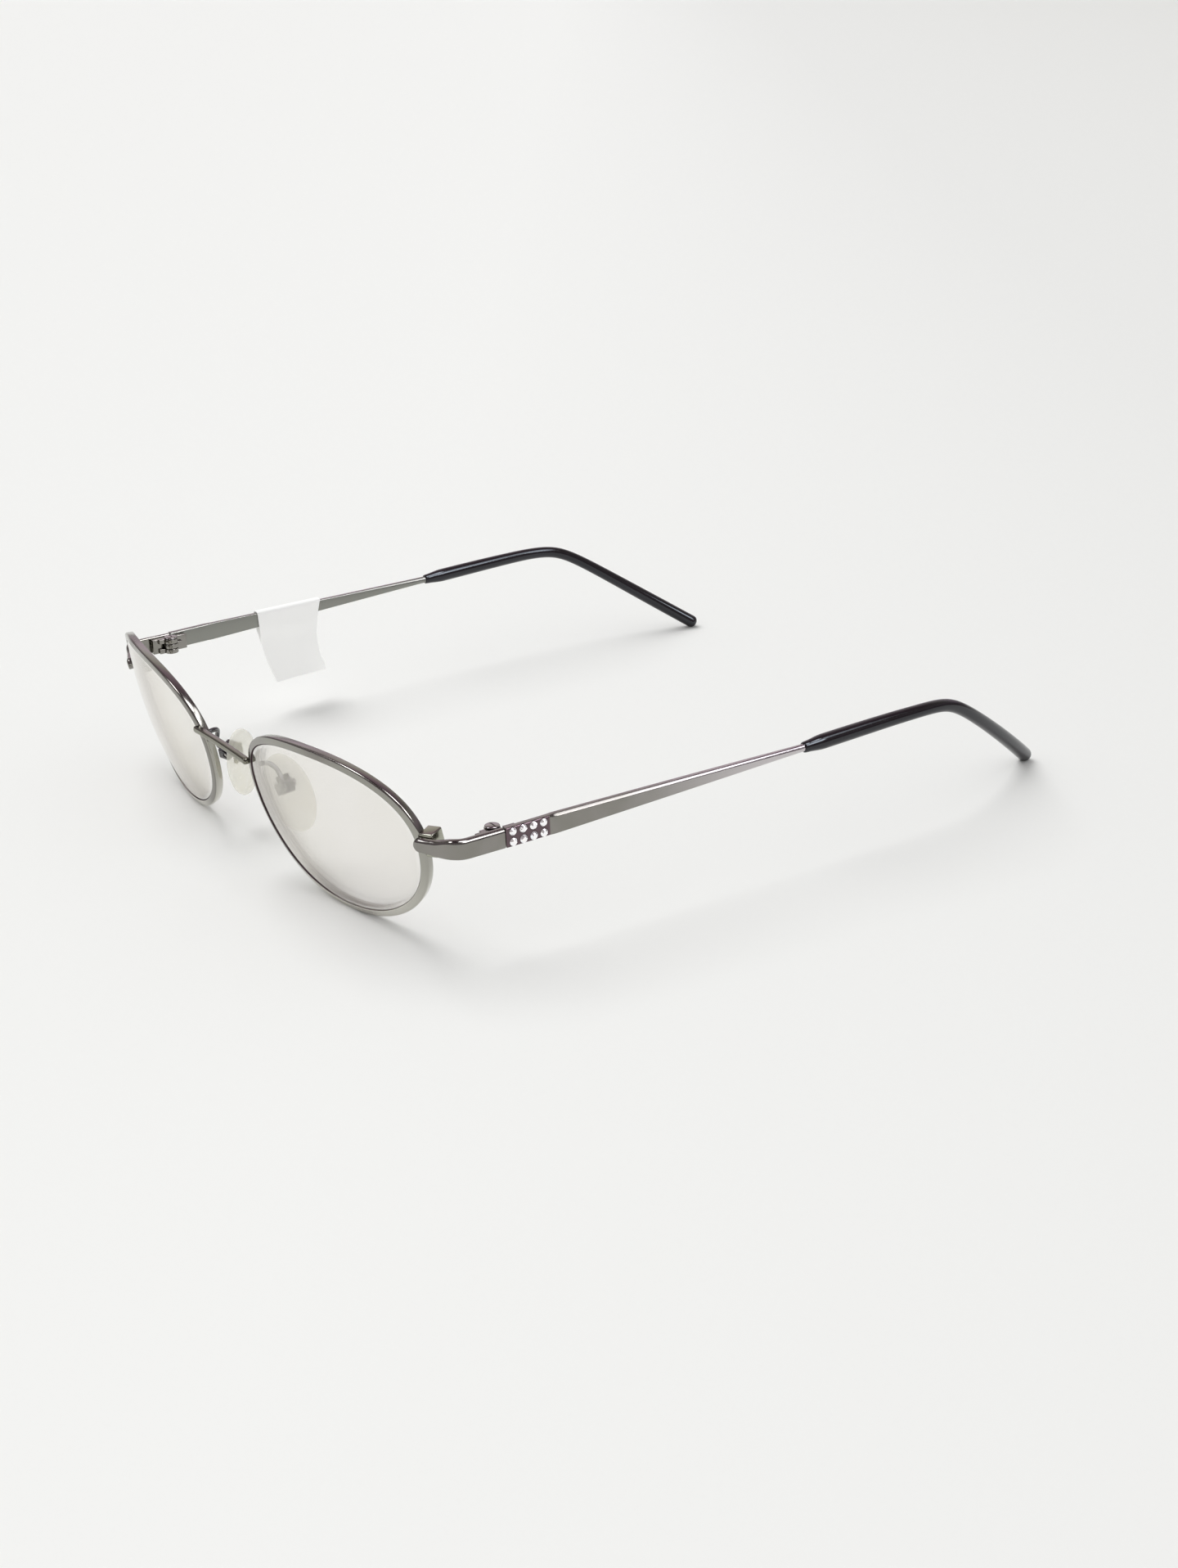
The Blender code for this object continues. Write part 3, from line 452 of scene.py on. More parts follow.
def noise(tree, scale, detail, stretch=(1, 1, 1)):
    """Noise over the surface of an object."""
    place = node(tree, "ShaderNodeTexCoord")["Object"]
    place = node(tree, "ShaderNodeMapping", {"Vector": place, "Scale": stretch})["Vector"]
    return node(tree, "ShaderNodeTexNoise", {"Vector": place, "Scale": scale, "Detail": detail})["Fac"]


def ramp(source, stops):
    """Colour ramp through (place, colour) stops."""
    tree = source.id_data
    made = tree.nodes.new("ShaderNodeValToRGB")
    while len(made.color_ramp.elements) < len(stops):
        made.color_ramp.elements.new(0.5)
    for element, (place, colour) in zip(made.color_ramp.elements, stops):
        element.position = place
        element.color = (*colour, 1)
    tree.links.new(source, made.inputs["Fac"])
    return made.outputs["Color"]


def new_material(name, colour, metallic, roughness):
    """Principled material with its node tree and its shader's inputs."""
    material = bpy.data.materials.new(name + "_finish")
    material.use_nodes = True
    inputs = material.node_tree.nodes["Principled BSDF"].inputs
    inputs["Base Color"].default_value = (*colour, 1)
    inputs["Metallic"].default_value = metallic
    inputs["Roughness"].default_value = roughness
    return material, material.node_tree, inputs


def finish(name, colour, metallic, roughness, clouds, stops, polish, span, relief=None, extra=()):
    """Material with cloudy colour, uneven polish and perhaps a relief of some depth, each from a noise."""
    material, tree, inputs = new_material(name, colour, metallic, roughness)
    tree.links.new(ramp(noise(tree, *clouds), stops), inputs["Base Color"])
    tree.links.new(spread(noise(tree, *polish), *span), inputs["Roughness"])
    if relief:
        *kind, depth = relief
        bumps = {"Height": noise(tree, *kind), "Strength": 1.0, "Distance": depth}
        tree.links.new(node(tree, "ShaderNodeBump", bumps)["Normal"], inputs["Normal"])
    for socket, value in dict(extra).items():
        inputs[socket].default_value = value
    return material


def metal(name, dark, light, smooth=0.12, rough=0.20):
    """Plated metal with faint cloudy colour, uneven polish and a fine grain."""
    return finish(name, dark, 1.0, smooth, (180, 3), [(0.35, dark), (0.65, light)], (900, 4), (smooth, rough),
                  (9000, 2, 0.000002))


def object_spot(tree):
    """Place on a piece as it was modelled, its separate X, Y and Z, and the way its surface faces."""
    place = node(tree, "ShaderNodeTexCoord")
    spot, facing = (node(tree, "ShaderNodeSeparateXYZ", {"Vector": place[kind]}) for kind in ("Object", "Normal"))
    return place["Object"], spot, facing


def tone(material, share, colour, rough=None):
    """Brings a material towards another colour, and another polish, where the share is high."""
    tree = material.node_tree
    inputs = tree.nodes["Principled BSDF"].inputs
    for socket, level in (("Base Color", colour), ("Roughness", rough and (rough, rough, rough))):
        if level:
            ends = {"Factor": share, "A": inputs[socket].links[0].from_socket, "B": (*level, 1)}
            tree.links.new(node(tree, "ShaderNodeMix", ends, data_type="RGBA")["Result"], inputs[socket])


def make_rim_metal():
    """Plating of the rims, with a painted reflection that makes them paler low down and darker at the top, and
    painted shade beside the nose where they face the lens and on their front face there.
    """
    material = metal("rim_gunmetal", (0.660, 0.650, 0.590), (0.700, 0.685, 0.630))
    _, spot, facing = object_spot(material.node_tree)
    # Painted reflection: the rims are paler low down and darker towards the top
    tone(material, smooth_step(spot["Z"], 0.001, 0.018), (0.370, 0.365, 0.328))
    tone(material, smooth_step(spot["Z"], 0.020, 0.029), (0.310, 0.305, 0.275))
    side = maths("ABSOLUTE", spot["X"])
    front = smooth_step(facing["Y"], -0.5, -0.8)
    outward = maths("SUBTRACT", product(maths("SIGN", spot["X"]), facing["X"]), product(front, 0.15))
    # Painted shade: the wall beside the nose that faces the lens is dark, as if in shade behind the lens
    inner = product(smooth_step(outward, -0.05, 0.20), smooth_step(side, 0.044, 0.036))
    tone(material, inner, (0.085, 0.048, 0.060), 0.75)
    # Painted shade: the front face beside the nose is darker
    tone(material, product(smooth_step(side, 0.024, 0.015), front), (0.245, 0.235, 0.215))
    return material


def make_temple_metal():
    """Plating of the temples, darker round the crystals, paler towards the wire and duller on the inside."""
    material = metal("temple_gunmetal", *GUNMETAL)
    _, spot, facing = object_spot(material.node_tree)
    outward = product(maths("SIGN", spot["X"]), facing["X"])
    end = CRYSTAL_START + (CRYSTAL_COLUMNS - 1) * CRYSTAL_PITCH + SHIFT.y + GROUND_MARGIN
    ground = product(smooth_step(spot["Y"], end + 0.0002, end - 0.0001), smooth_step(outward, 0.3, 0.6))
    tone(material, ground, (0.145, 0.105, 0.118), 0.30)
    wire = smooth_step(spot["Y"], PALING_START + SHIFT.y, MOUTH_PLACE + SHIFT.y)
    tone(material, product(wire, smooth_step(outward, -0.3, 0.1)), (0.60, 0.565, 0.58))
    tone(material, smooth_step(outward, -0.1, -0.4), (0.275, 0.278, 0.255), 0.34)
    return material


def make_lens_material():
    """Lightly tinted lens with a pale coating that veils what is behind it, in faint upright streaks of painted
    reflection, and with a painted glare round its edge.
    """
    # The faint upright streaks in the lens colour are a painted reflection
    material = finish("tinted_lens", (0.80, 0.78, 0.71), 1.0, 0.04, (60, 2, (1, 1, 0.12)),
                      [(0.35, (0.80, 0.77, 0.70)), (0.65, (0.84, 0.81, 0.77))], (260, 4), (0.03, 0.07))
    tree = material.node_tree
    place, spot, facing = object_spot(tree)
    lean = Vector((0, -sin(FACE_LEAN), cos(FACE_LEAN)))
    middle = lean.dot(SHIFT + Vector((0, 0, FACE_LEVEL)))
    up = maths("DIVIDE", maths("SUBTRACT", share_along(place, lean), middle), LENS_HEIGHT / 2)
    side = maths("SUBTRACT", maths("ABSOLUTE", spot["X"]), (NOSE_SPAN + LENS_WIDTH) / 2)
    wide = maths("ADD", product(up, LENS_TOP_SPREAD), 1.0)
    across = maths("DIVIDE", maths("DIVIDE", side, LENS_WIDTH / 2), wide)
    far = maths("ADD", *(maths("POWER", maths("ABSOLUTE", part), LENS_FULLNESS) for part in (across, up)))
    # Painted glare: a pale band round the lens edge, which also makes the lens more opaque there
    edge = product(smooth_step(far, 0.86, 0.95), 0.8)
    tone(material, edge, (0.93, 0.92, 0.90))
    tone(material, smooth_step(maths("ABSOLUTE", facing["Y"]), 0.85, 0.60), (0.72, 0.70, 0.68), 0.80)
    grazing = smooth_step(node(tree, "ShaderNodeLayerWeight")["Facing"], 0.62, 0.90)
    veil = spread(maths("MAXIMUM", edge, grazing), 0.31, 0.90, 0, 1)
    tree.links.new(veil, tree.nodes["Principled BSDF"].inputs["Alpha"])
    return material


def make_black_plastic():
    """Glossy brown-black plastic with a cold sheen."""
    return finish("black_plastic", (0.014, 0.010, 0.011), 0.0, 0.12, (120, 2),
                  [(0.3, (0.012, 0.008, 0.009)), (0.7, (0.018, 0.013, 0.015))], (700, 3), (0.06, 0.15),
                  (1500, 2, 0.000004), {"IOR": 1.52, "Specular Tint": (0.82, 0.92, 1.0, 1)})


def make_silicone():
    """Milky clear silicone, a little amber in places."""
    return finish("clear_silicone", (0.90, 0.87, 0.76), 0.0, 0.22, (300, 3),
                  [(0.3, (0.94, 0.93, 0.84)), (0.7, (0.92, 0.89, 0.74))], (1200, 2), (0.16, 0.30),
                  extra={"Alpha": 0.36})


def make_crystal_material():
    """Foil-backed cut stone with a faint painted glow."""
    # Painted glow: a faint emission brightens the stones
    return finish("crystal", (0.93, 0.93, 0.96), 0.9, 0.02, (1600, 1),
                  [(0.3, (0.98, 0.95, 0.94)), (0.7, (0.86, 0.87, 0.93))], (5000, 1), (0.01, 0.06),
                  extra={"Coat Weight": 1.0, "Coat Roughness": 0.01, "Emission Color": (1.0, 0.96, 0.95, 1),
                         "Emission Strength": 0.14})


def make_paper():
    """Thin white tag paper with fibres, and a faint painted glow that stands in for light coming through its two
    leaves.
    """
    fibres = (2600, 4, (1, 1, 0.3))
    # Painted glow: the emission stands in for light coming through the paper
    return finish("white_paper", (0.94, 0.94, 0.93), 0.0, 0.72, fibres,
                  [(0.3, (0.93, 0.93, 0.92)), (0.7, (0.97, 0.97, 0.96))], (800, 2), (0.62, 0.82),
                  (*fibres, 0.000008), {"Emission Color": (1, 1, 0.99, 1), "Emission Strength": 0.12})


def opening_point(angle):
    """Point on the edge of the lens opening."""
    power = 2 / LENS_FULLNESS
    across = copysign(abs(cos(angle)) ** power, cos(angle))
    up = copysign(abs(sin(angle)) ** power, sin(angle))
    return LENS_WIDTH / 2 * across * (1 + LENS_TOP_SPREAD * up), LENS_HEIGHT / 2 * up


def outline_point(angle, offset):
    """Point outside the lens opening by an offset, measured from the middle of the lens."""
    before = Vector(opening_point(angle - ANGLE_STEP))
    after = Vector(opening_point(angle + ANGLE_STEP))
    ahead = (after - before).normalized()
    across, up = opening_point(angle)
    return across + offset * ahead.y, up - offset * ahead.x


def surface_point(across, up, depth, level):
    """Point behind the curved face of the left half of the front."""
    back = (across ** 2 + up ** 2) / (2 * FACE_RADIUS) + FACE_WRAP * across
    normal = Vector((-(across / FACE_RADIUS + FACE_WRAP), 1, -up / FACE_RADIUS)).normalized()
    flat = Vector((across, back, up)) + depth * normal
    centre = Vector(((NOSE_SPAN + LENS_WIDTH) / 2, 0, level))
    return centre + Matrix.Rotation(FACE_LEAN, 3, "X") @ flat


def rim_low_point():
    """Height of the lowest point of a rim whose lens centre is at height zero."""
    angles = [tau * i / LEVEL_STEPS for i in range(LEVEL_STEPS)]
    return min(surface_point(*outline_point(angle, RIM_FACE), 0.0003, 0).z for angle in angles)


FACE_LEVEL = -rim_low_point() - REST_CUT


def face_point(angle, offset, depth):
    """Point of the front by its angle round the lens, its offset from the opening and its depth."""
    return surface_point(*outline_point(angle, offset), depth, FACE_LEVEL)


def open_ring_angles(count):
    """Angles round a rim, evenly spaced along it, from one side of its split to the other."""
    span = (face_point(SPLIT_ANGLE + ANGLE_STEP, RIM_FACE, 0) - face_point(SPLIT_ANGLE, RIM_FACE, 0)).length
    half = SPLIT_GAP / 2 * ANGLE_STEP / span
    fine = spaced(SPLIT_ANGLE + half, SPLIT_ANGLE + tau - half, 12 * count)
    spots = [face_point(angle, RIM_FACE, 0) for angle in fine]
    lengths = [0.0]
    for spot, after in zip(spots, spots[1:]):
        lengths.append(lengths[-1] + (after - spot).length)
    angles = []
    j = 0
    for wanted in spaced(0, lengths[-1], count + 1):
        while lengths[j + 1] < wanted and j < len(lengths) - 2:
            j += 1
        share = (wanted - lengths[j]) / (lengths[j + 1] - lengths[j])
        angles.append(fine[j] + (fine[j + 1] - fine[j]) * min(share, 1))
    return angles


def settle(bm):
    """Presses what would be below the ground flat on it."""
    for vert in bm.verts:
        vert.co.z = max(vert.co.z, 0)
    return bm


def groove_section(play):
    """Corners (outward, back) of the rim's groove from front to back, drawn in by some play."""
    middle = RIM_DEPTH / 2
    wide = GROOVE_WIDTH / 2 - play
    narrow = GROOVE_WIDTH / 4 - play
    deep = GROOVE_DEPTH - play
    return [(-play, middle - wide), (deep, middle - narrow), (deep, middle + narrow), (-play, middle + wide)]


def make_rim():
    """Eyewire with a softly rounded front edge and a groove for its lens."""
    corners = [(0, 0, SMALL_ROUND, 4), (RIM_FACE, 0, RIM_ROUND, 8), (RIM_FACE, RIM_DEPTH, SMALL_ROUND, 4),
               (0, RIM_DEPTH, SMALL_ROUND, 4)]
    section = rounded_polygon(corners + [(*corner, 0, 1) for corner in groove_section(0)[::-1]])
    angles = open_ring_angles(RIM_STEPS)
    return settle(skin([[face_point(angle, *point) for point in section] for angle in angles]))


def make_lens():
    """Curved lens with a ridge round its edge that sits in the rim's groove."""
    angles = open_ring_angles(RIM_STEPS)[:-1]
    front = (RIM_DEPTH - LENS_THICKNESS) / 2
    back = front + LENS_THICKNESS
    edge = [(-GAP, front)] + groove_section(GAP) + [(-GAP, back)]
    spots = [outline_point(angle, -GAP) for angle in angles]

    def inner_ring(share, depth):
        return [surface_point(share * across, share * up, depth, FACE_LEVEL) for across, up in spots]

    shares = spaced(0.04, 0.96, 13)
    rings = [inner_ring(share, front) for share in shares]
    rings += [[face_point(angle, *point) for angle in angles] for point in edge]
    rings += [inner_ring(share, back) for share in shares[::-1]]
    return skin(rings)


def axes_frame(x_axis, y_axis, z_axis, origin):
    """Matrix with the given axes and origin."""
    return Matrix.Translation(origin) @ Matrix((x_axis, y_axis, z_axis)).transposed().to_4x4()


def block_frame():
    """Frame at a rim's split: X outwards along the face, Y back from the face and Z up the rim."""
    origin = face_point(SPLIT_ANGLE, 0, 0)
    outward = (face_point(SPLIT_ANGLE, RIM_FACE, 0) - origin).normalized()
    upward = outward.cross(face_point(SPLIT_ANGLE, 0, RIM_DEPTH) - origin).normalized()
    return axes_frame(outward, upward.cross(outward), upward, origin)


def placed(bm, matrix):
    """Shape moved by a matrix."""
    bmesh.ops.transform(bm, matrix=matrix, verts=bm.verts)
    return bm


def bored(radius, deep, matrix=Matrix(), *smoothness):
    """Step that bores a hole round the Z axis of a frame."""
    return "DIFFERENCE", placed(drum(radius + PIN_PLAY, -deep, deep, *smoothness), matrix)


def closing_axis():
    """Axis of the closing screw in the block's frame."""
    return Matrix.Translation((RIM_FACE + GAP + BLOCK_REACH / 2, BLOCK_DEPTH / 2, 0))


def make_closing_block(low, high):
    """Half of the block on a rim's split, shaped to the rim and bored for its screw."""
    reach = RIM_FACE + GAP + BLOCK_REACH + BLOCK_SHIFT
    block = rounded_box((RIM_FACE / 2, 0, low), (reach, BLOCK_DEPTH + BLOCK_SHIFT / 2, high), BLOCK_ROUND)
    room = skin([[face_point(angle, RIM_FACE + GAP, depth)
                  for angle in spaced(SPLIT_ANGLE - 1, SPLIT_ANGLE + 1, 160)]
                 for depth in (-RIM_DEPTH, 2 * RIM_DEPTH)])
    placed(room, block_frame().inverted())
    steps = [("DIFFERENCE", room), bored(PIN_RADIUS, CLOSING_CLIMB + GAP, closing_axis())]
    if low < 0:
        sink = drum(CLOSING_HEAD_RADIUS + PIN_PLAY, 2 * low, low + HEAD_HEIGHT + GAP)
        steps.append(("DIFFERENCE", placed(sink, closing_axis())))
    return placed(combined(block, steps), block_frame())


def make_screw(pin_radius, head_radius, head_height, length):
    """Screw with a domed, slotted head and a threaded pin."""
    profile = [(0, head_height)]
    profile += [(head_radius * sin(turn), head_height * (0.35 + 0.65 * cos(turn)))
                for turn in spaced(0.2, pi / 2, 7)]
    profile += [(head_radius, 0), (pin_radius, 0)]
    turns = int(length / THREAD_PITCH)
    for i in range(turns):
        depth = -length * (i + 0.5) / turns
        profile += [(pin_radius, depth), (pin_radius * 0.86, depth - length / turns / 2)]
    profile += [(pin_radius * 0.6, -length), (0, -length)]
    slot = rounded_box((-2 * head_radius, -SLOT_WIDTH / 2, head_height - SLOT_DEPTH),
                       (2 * head_radius, SLOT_WIDTH / 2, 2 * head_height), SLOT_DEPTH / 4)
    return combined(turned(profile, 36), [("DIFFERENCE", slot)])


def swept(path, sections, uprights=None):
    """Rings of each section across a path, with the section's second axis upright or as given."""
    rings = []
    for i, (spot, section) in enumerate(zip(path, sections)):
        ahead = path[min(i + 1, len(path) - 1)] - path[max(i - 1, 0)]
        side = ahead.cross(uprights[i] if uprights else UP).normalized()
        up = side.cross(ahead).normalized()
        rings.append([spot + side * across + up * above for across, above in section])
    return rings


def make_bridge():
    """Bar between the rims with rounded ends."""
    end = face_point(BRIDGE_ANGLE, RIM_FACE - BRIDGE_LAP, BAR_SINK - BRIDGE_DEPTH / 2 - GAP)
    end += Vector((-BAR_TRIM, 0, BAR_LIFT))
    rounding = [(cos(turn), sin(turn)) for turn in spaced(0.3, pi / 2, 8)]
    reach = BAR_HEIGHT / 2
    stations = [(end.x - reach + reach * ahead, full) for ahead, full in rounding]
    stations += [(across, 1) for across in spaced(end.x - reach, 0, 14)[1:]]
    stations += [(-across, full) for across, full in stations[-2::-1]]
    path = []
    sections = []
    for across, full in stations:
        path.append(Vector((across, end.y, end.z + BRIDGE_ARCH * (1 - (across / end.x) ** 2))))
        half_deep = BAR_DEPTH / 2 * min(1, 0.45 + 0.55 * full)
        sections.append(rounded_rectangle(half_deep, reach * full, BAR_ROUND))
    return skin(swept(path, sections))


def curve_point(points, share):
    """Point on the cubic curve of a start, two handles and an end."""
    rest = 1 - share
    weights = (rest ** 3, 3 * rest ** 2 * share, 3 * rest * share ** 2, share ** 3)
    return sum((point * weight for point, weight in zip(points, weights)), Vector((0, 0, 0)))


def make_end_piece():
    """Strap from the rim's face, across the closing block and round to the hinge."""
    across, back, rising = block_frame().to_3x3().transposed()
    outward = (across * rising.z - rising * across.z).normalized()
    leaning = outward.cross(back)
    lift = END_PIECE_THICKNESS / 2 + GAP
    first = block_frame() @ Vector((RIM_FACE - END_PIECE_LAP, -lift, 0)) + leaning * END_PIECE_RISE
    length = END_PIECE_LAP + END_PIECE_STRAIGHT
    turn_start = first + outward * length
    turn_end = Vector((TEMPLE_SIDE, END_PIECE_TURN, TEMPLE_LEVEL))
    handle = (turn_end - turn_start).length / 2
    bend = (turn_start, turn_start + outward * handle, turn_end - Vector((0, handle, 0)), turn_end)
    reach = END_PIECE_FRONT_HEIGHT / 2
    rounding = [(reach * (1 - cos(turn)), sin(turn)) for turn in spaced(0.12, pi / 2, 9)]
    straight = spaced(reach, length, 8)[1:-1]
    turn = [curve_point(bend, share) + leaning * BEND_LIFT * sin(pi * share) ** 2
            for share in spaced(0, 1, 40)]
    tail = spaced(END_PIECE_TURN, TEMPLE_START - 2 * GAP, 9)[1:]
    path = [first + outward * ahead for ahead in [ahead for ahead, _ in rounding] + straight] + turn
    path += [Vector((TEMPLE_SIDE, along, TEMPLE_LEVEL)) for along in tail]
    grown = len(turn) + len(tail)
    shares = spaced(0, 0.35, len(straight)) + spaced(0.35, 1, grown // 2)[1:]
    shares += [1] * (len(straight) + grown - len(shares))
    growth = END_PIECE_HEIGHT - END_PIECE_FRONT_HEIGHT
    heights = [END_PIECE_FRONT_HEIGHT * full for _, full in rounding]
    heights += [END_PIECE_FRONT_HEIGHT + growth * share * share * (3 - 2 * share) for share in shares]
    sizes = [min(1, 0.4 + 0.6 * full) for _, full in rounding] + [1] * len(shares)
    sections = [crowned_section(END_PIECE_THICKNESS * size / 2, height / 2, EDGE_ROUND * size, CROWN * size)
                for size, height in zip(sizes, heights)]
    uprights = [leaning] * (len(rounding) + len(straight))
    uprights += [leaning.lerp(UP, share) for share in spaced(0, 1, len(turn))] + [UP] * len(tail)
    return skin(swept(path, sections, uprights))


def hinge_axis():
    """Middle of the left hinge's axis."""
    return Vector((TEMPLE_SIDE - HINGE_INSET, HINGE_PLACE, TEMPLE_LEVEL - HINGE_DROP))


def make_hinge_half(side, levels):
    """Hinge leaf on one side of the axis (-1 front, 1 back) with rounded knuckles at some levels."""
    outer = HINGE_INSET - TEMPLE_THICKNESS / 2 - GAP
    near, overlap, far = (side * (KNUCKLE_RADIUS + GAP + more) for more in (0, LEAF_THICKNESS, LEAF_LENGTH))
    half = HINGE_HEIGHT / 2
    leaf = rounded_box((outer - LEAF_THICKNESS, min(near, far), -half), (outer, max(near, far), half),
                       KNUCKLE_ROUND)
    height = (HINGE_HEIGHT - 2 * KNUCKLE_PLAY) / 3
    steps = []
    for level in levels:
        middle = level * (height + KNUCKLE_PLAY)
        low = (0, min(0, overlap), middle - height / 2)
        high = (outer - 0.00002, max(0, overlap), middle + height / 2)
        steps.append(("UNION", rounded_box(low, high, WEB_ROUND)))
        steps.append(("UNION", drum(KNUCKLE_RADIUS, low[2], high[2], KNUCKLE_ROUND)))
    steps.append(bored(PIN_RADIUS, HINGE_HEIGHT))
    return placed(combined(leaf, steps), Matrix.Translation(hinge_axis()))


def climbed(along):
    """Height of the temple at a distance behind the front if it did not bend down."""
    return TEMPLE_LEVEL + TEMPLE_CLIMB * (along - TEMPLE_START) + TIP_CLIMB * max(0, along - MOUTH_PLACE)


def fallen(along):
    """Distance that counts towards the fall at a distance along the temple, with a soft start."""
    past = along - BEND_PLACE
    return (past + hypot(past, BEND_SOFTNESS)) / 2


def temple_point(along):
    """Centre line of the left temple and its tip at a distance behind the front."""
    spread_out = TEMPLE_SPREAD * min((along - TEMPLE_START) / (MOUTH_PLACE - TEMPLE_START), 1)
    curl = max(0, (along - CURL_PLACE) / (TIP_PLACE - CURL_PLACE))
    side = TEMPLE_SIDE + spread_out - TIP_INSET * curl ** 2
    fall = (climbed(TIP_PLACE) - TIP_RADIUS + REST_CUT) / (fallen(TIP_PLACE) - fallen(TEMPLE_START))
    level = climbed(along) - fall * (fallen(along) - fallen(TEMPLE_START))
    return Vector((side, along, level))


def temple_section(along):
    """Section of the temple: a flat bar that tapers to a round wire."""
    share = min(max((along - TAPER_START) / (TAPER_END - TAPER_START), 0), 1)
    half_up = WIRE_RADIUS + (TEMPLE_HEIGHT / 2 - WIRE_RADIUS) * (1 - share) ** TAPER_EASE
    half_side = WIRE_RADIUS + (TEMPLE_THICKNESS / 2 - WIRE_RADIUS) * (1 - share)
    radius = EDGE_ROUND + (WIRE_RADIUS - EDGE_ROUND) * share
    begun = min(max((along - CHAMFER_START) / (CHAMFER_FULL - CHAMFER_START), 0), 1)
    return chamfered_section(half_side, half_up, radius, CHAMFER, begun * (1 - share ** 2))


def crystal_frames():
    """Frames of the crystals on the outer face of the left temple, with Z out of the face."""
    ahead = temple_point(TAPER_START) - temple_point(TEMPLE_START)
    outward = ahead.cross(UP).normalized()
    turn = outward.to_track_quat("Z", "Y").to_matrix().to_4x4()
    frames = []
    for column in range(CRYSTAL_COLUMNS):
        spot = temple_point(CRYSTAL_START + column * CRYSTAL_PITCH) + outward * TEMPLE_THICKNESS / 2
        for row in (-0.5, 0.5):
            frames.append(Matrix.Translation(spot + UP * row * CRYSTAL_ROW_PITCH) @ turn)
    return frames


def make_temple_bar():
    """Metal temple with bored seats for the crystals, tapering to the wire inside its tip."""
    stations = [TEMPLE_START, TEMPLE_START + 0.0001] + spaced(TEMPLE_START + 0.0003, CHAMFER_START, 8)
    stations += spaced(CHAMFER_START, CHAMFER_FULL, 5)[1:] + spaced(CHAMFER_FULL, TAPER_END, 60)[1:]
    stations += spaced(TAPER_END, WIRE_END, 70)[1:]
    path = [temple_point(along) for along in stations]
    sections = [temple_section(along) for along in stations]
    sections[0] = [(side * 0.84, up * 0.95) for side, up in sections[0]]
    depth = CRYSTAL_PAVILION + GAP
    steps = [bored(CRYSTAL_RADIUS, depth, matrix, SEAT_ROUND, 28) for matrix in crystal_frames()]
    return combined(skin(swept(path, sections)), steps)


def make_crystal():
    """Cut stone with a table, sixteen crown facets, a girdle and a pointed back."""
    bm = bmesh.new()

    def ring(count, radius, height, start=0.0):
        return [bm.verts.new((x, y, height)) for x, y in circle(count, radius, start)]

    table = ring(8, CRYSTAL_RADIUS * 0.52, CRYSTAL_CROWN)
    shoulder = ring(8, CRYSTAL_RADIUS * 0.80, CRYSTAL_CROWN * 0.62, 0.5)
    upper = ring(16, CRYSTAL_RADIUS, CRYSTAL_GIRDLE)
    lower = ring(16, CRYSTAL_RADIUS, -CRYSTAL_GIRDLE)
    back = bm.verts.new((0, 0, -CRYSTAL_PAVILION))
    bm.faces.new(table)
    for i in range(8):
        k = (i + 1) % 8
        bm.faces.new((table[i], shoulder[i], table[k]))
        bm.faces.new((table[k], shoulder[i], upper[2 * k], shoulder[k]))
        bm.faces.new((shoulder[i], upper[2 * i], upper[2 * i + 1]))
        bm.faces.new((shoulder[i], upper[2 * i + 1], upper[2 * k]))
    for i in range(16):
        k = (i + 1) % 16
        bm.faces.new((upper[i], lower[i], lower[k], upper[k]))
        bm.faces.new((lower[i], back, lower[k]))
    return faced_out(bm)


def sleeve_radius(along):
    """Radius of the sleeve, which swells behind its mouth, narrows at the bend and swells again."""
    places = (MOUTH_PLACE, MOUTH_PLACE + MOUTH_TAPER, BEND_PLACE, TIP_PLACE)
    radii = (MOUTH_RADIUS, SWELL_RADIUS, BEND_RADIUS, TIP_RADIUS)
    for start, end, first, last in zip(places, places[1:], radii, radii[1:]):
        if along <= end:
            break
    share = min(max((along - start) / (end - start), 0), 1)
    return first + (last - first) * (1 - cos(pi * share)) / 2


def make_temple_tip():
    """Plastic sleeve round the temple's wire, with a soft mouth and a rounded, flattened end."""
    stations = spaced(MOUTH_PLACE + MOUTH_ROUND, CURL_PLACE, 40) + spaced(CURL_PLACE, TIP_PLACE, 80)[1:]
    turns = spaced(pi / 2, 0.1, 6)[:0:-1]
    lip = [MOUTH_PLACE + MOUTH_ROUND * (1 - sin(turn)) for turn in turns]
    path = [temple_point(along) for along in lip + stations]
    radii = [MOUTH_RADIUS * (1 - 0.16 * (1 - cos(turn))) for turn in turns]
    radii += [sleeve_radius(along) for along in stations]
    ahead = (path[-1] - path[-2]).normalized()
    last = path[-1]
    for turn in spaced(0, pi / 2 * 0.93, 9)[1:]:
        path.append(last + ahead * TIP_RADIUS * sin(turn) * 0.86)
        radii.append(TIP_RADIUS * cos(turn))
    outside = swept(path, [circle(32, radius) for radius in radii])
    deep = [temple_point(along) for along in spaced(MOUTH_PLACE, WIRE_END + GAP, 60)]
    inside = swept(deep, [circle(32, WIRE_RADIUS + GAP)] * len(deep))
    return settle(skin(outside[::-1] + inside))


def pad_frame():
    """Frame on the left pad's pivot: X forwards along its screw, Y away from the nose, Z up the pad."""
    upright = Vector((-sin(PAD_FLARE), -sin(FACE_LEAN), cos(PAD_FLARE))).normalized()
    backward = Vector((sin(PAD_SPLAY), cos(PAD_SPLAY), 0))
    backward = (backward - upright * backward.dot(upright)).normalized()
    outward = backward.cross(upright)
    pivot = PAD_CENTRE + upright * PIVOT_RISE + outward * (PAD_THICKNESS / 2 + PIVOT_STAND)
    return axes_frame(-backward, outward, upright, pivot)


def across_screw():
    """Frame whose Z runs along the pad's screw, towards the back."""
    return Matrix.Rotation(radians(-90), 4, "Y")


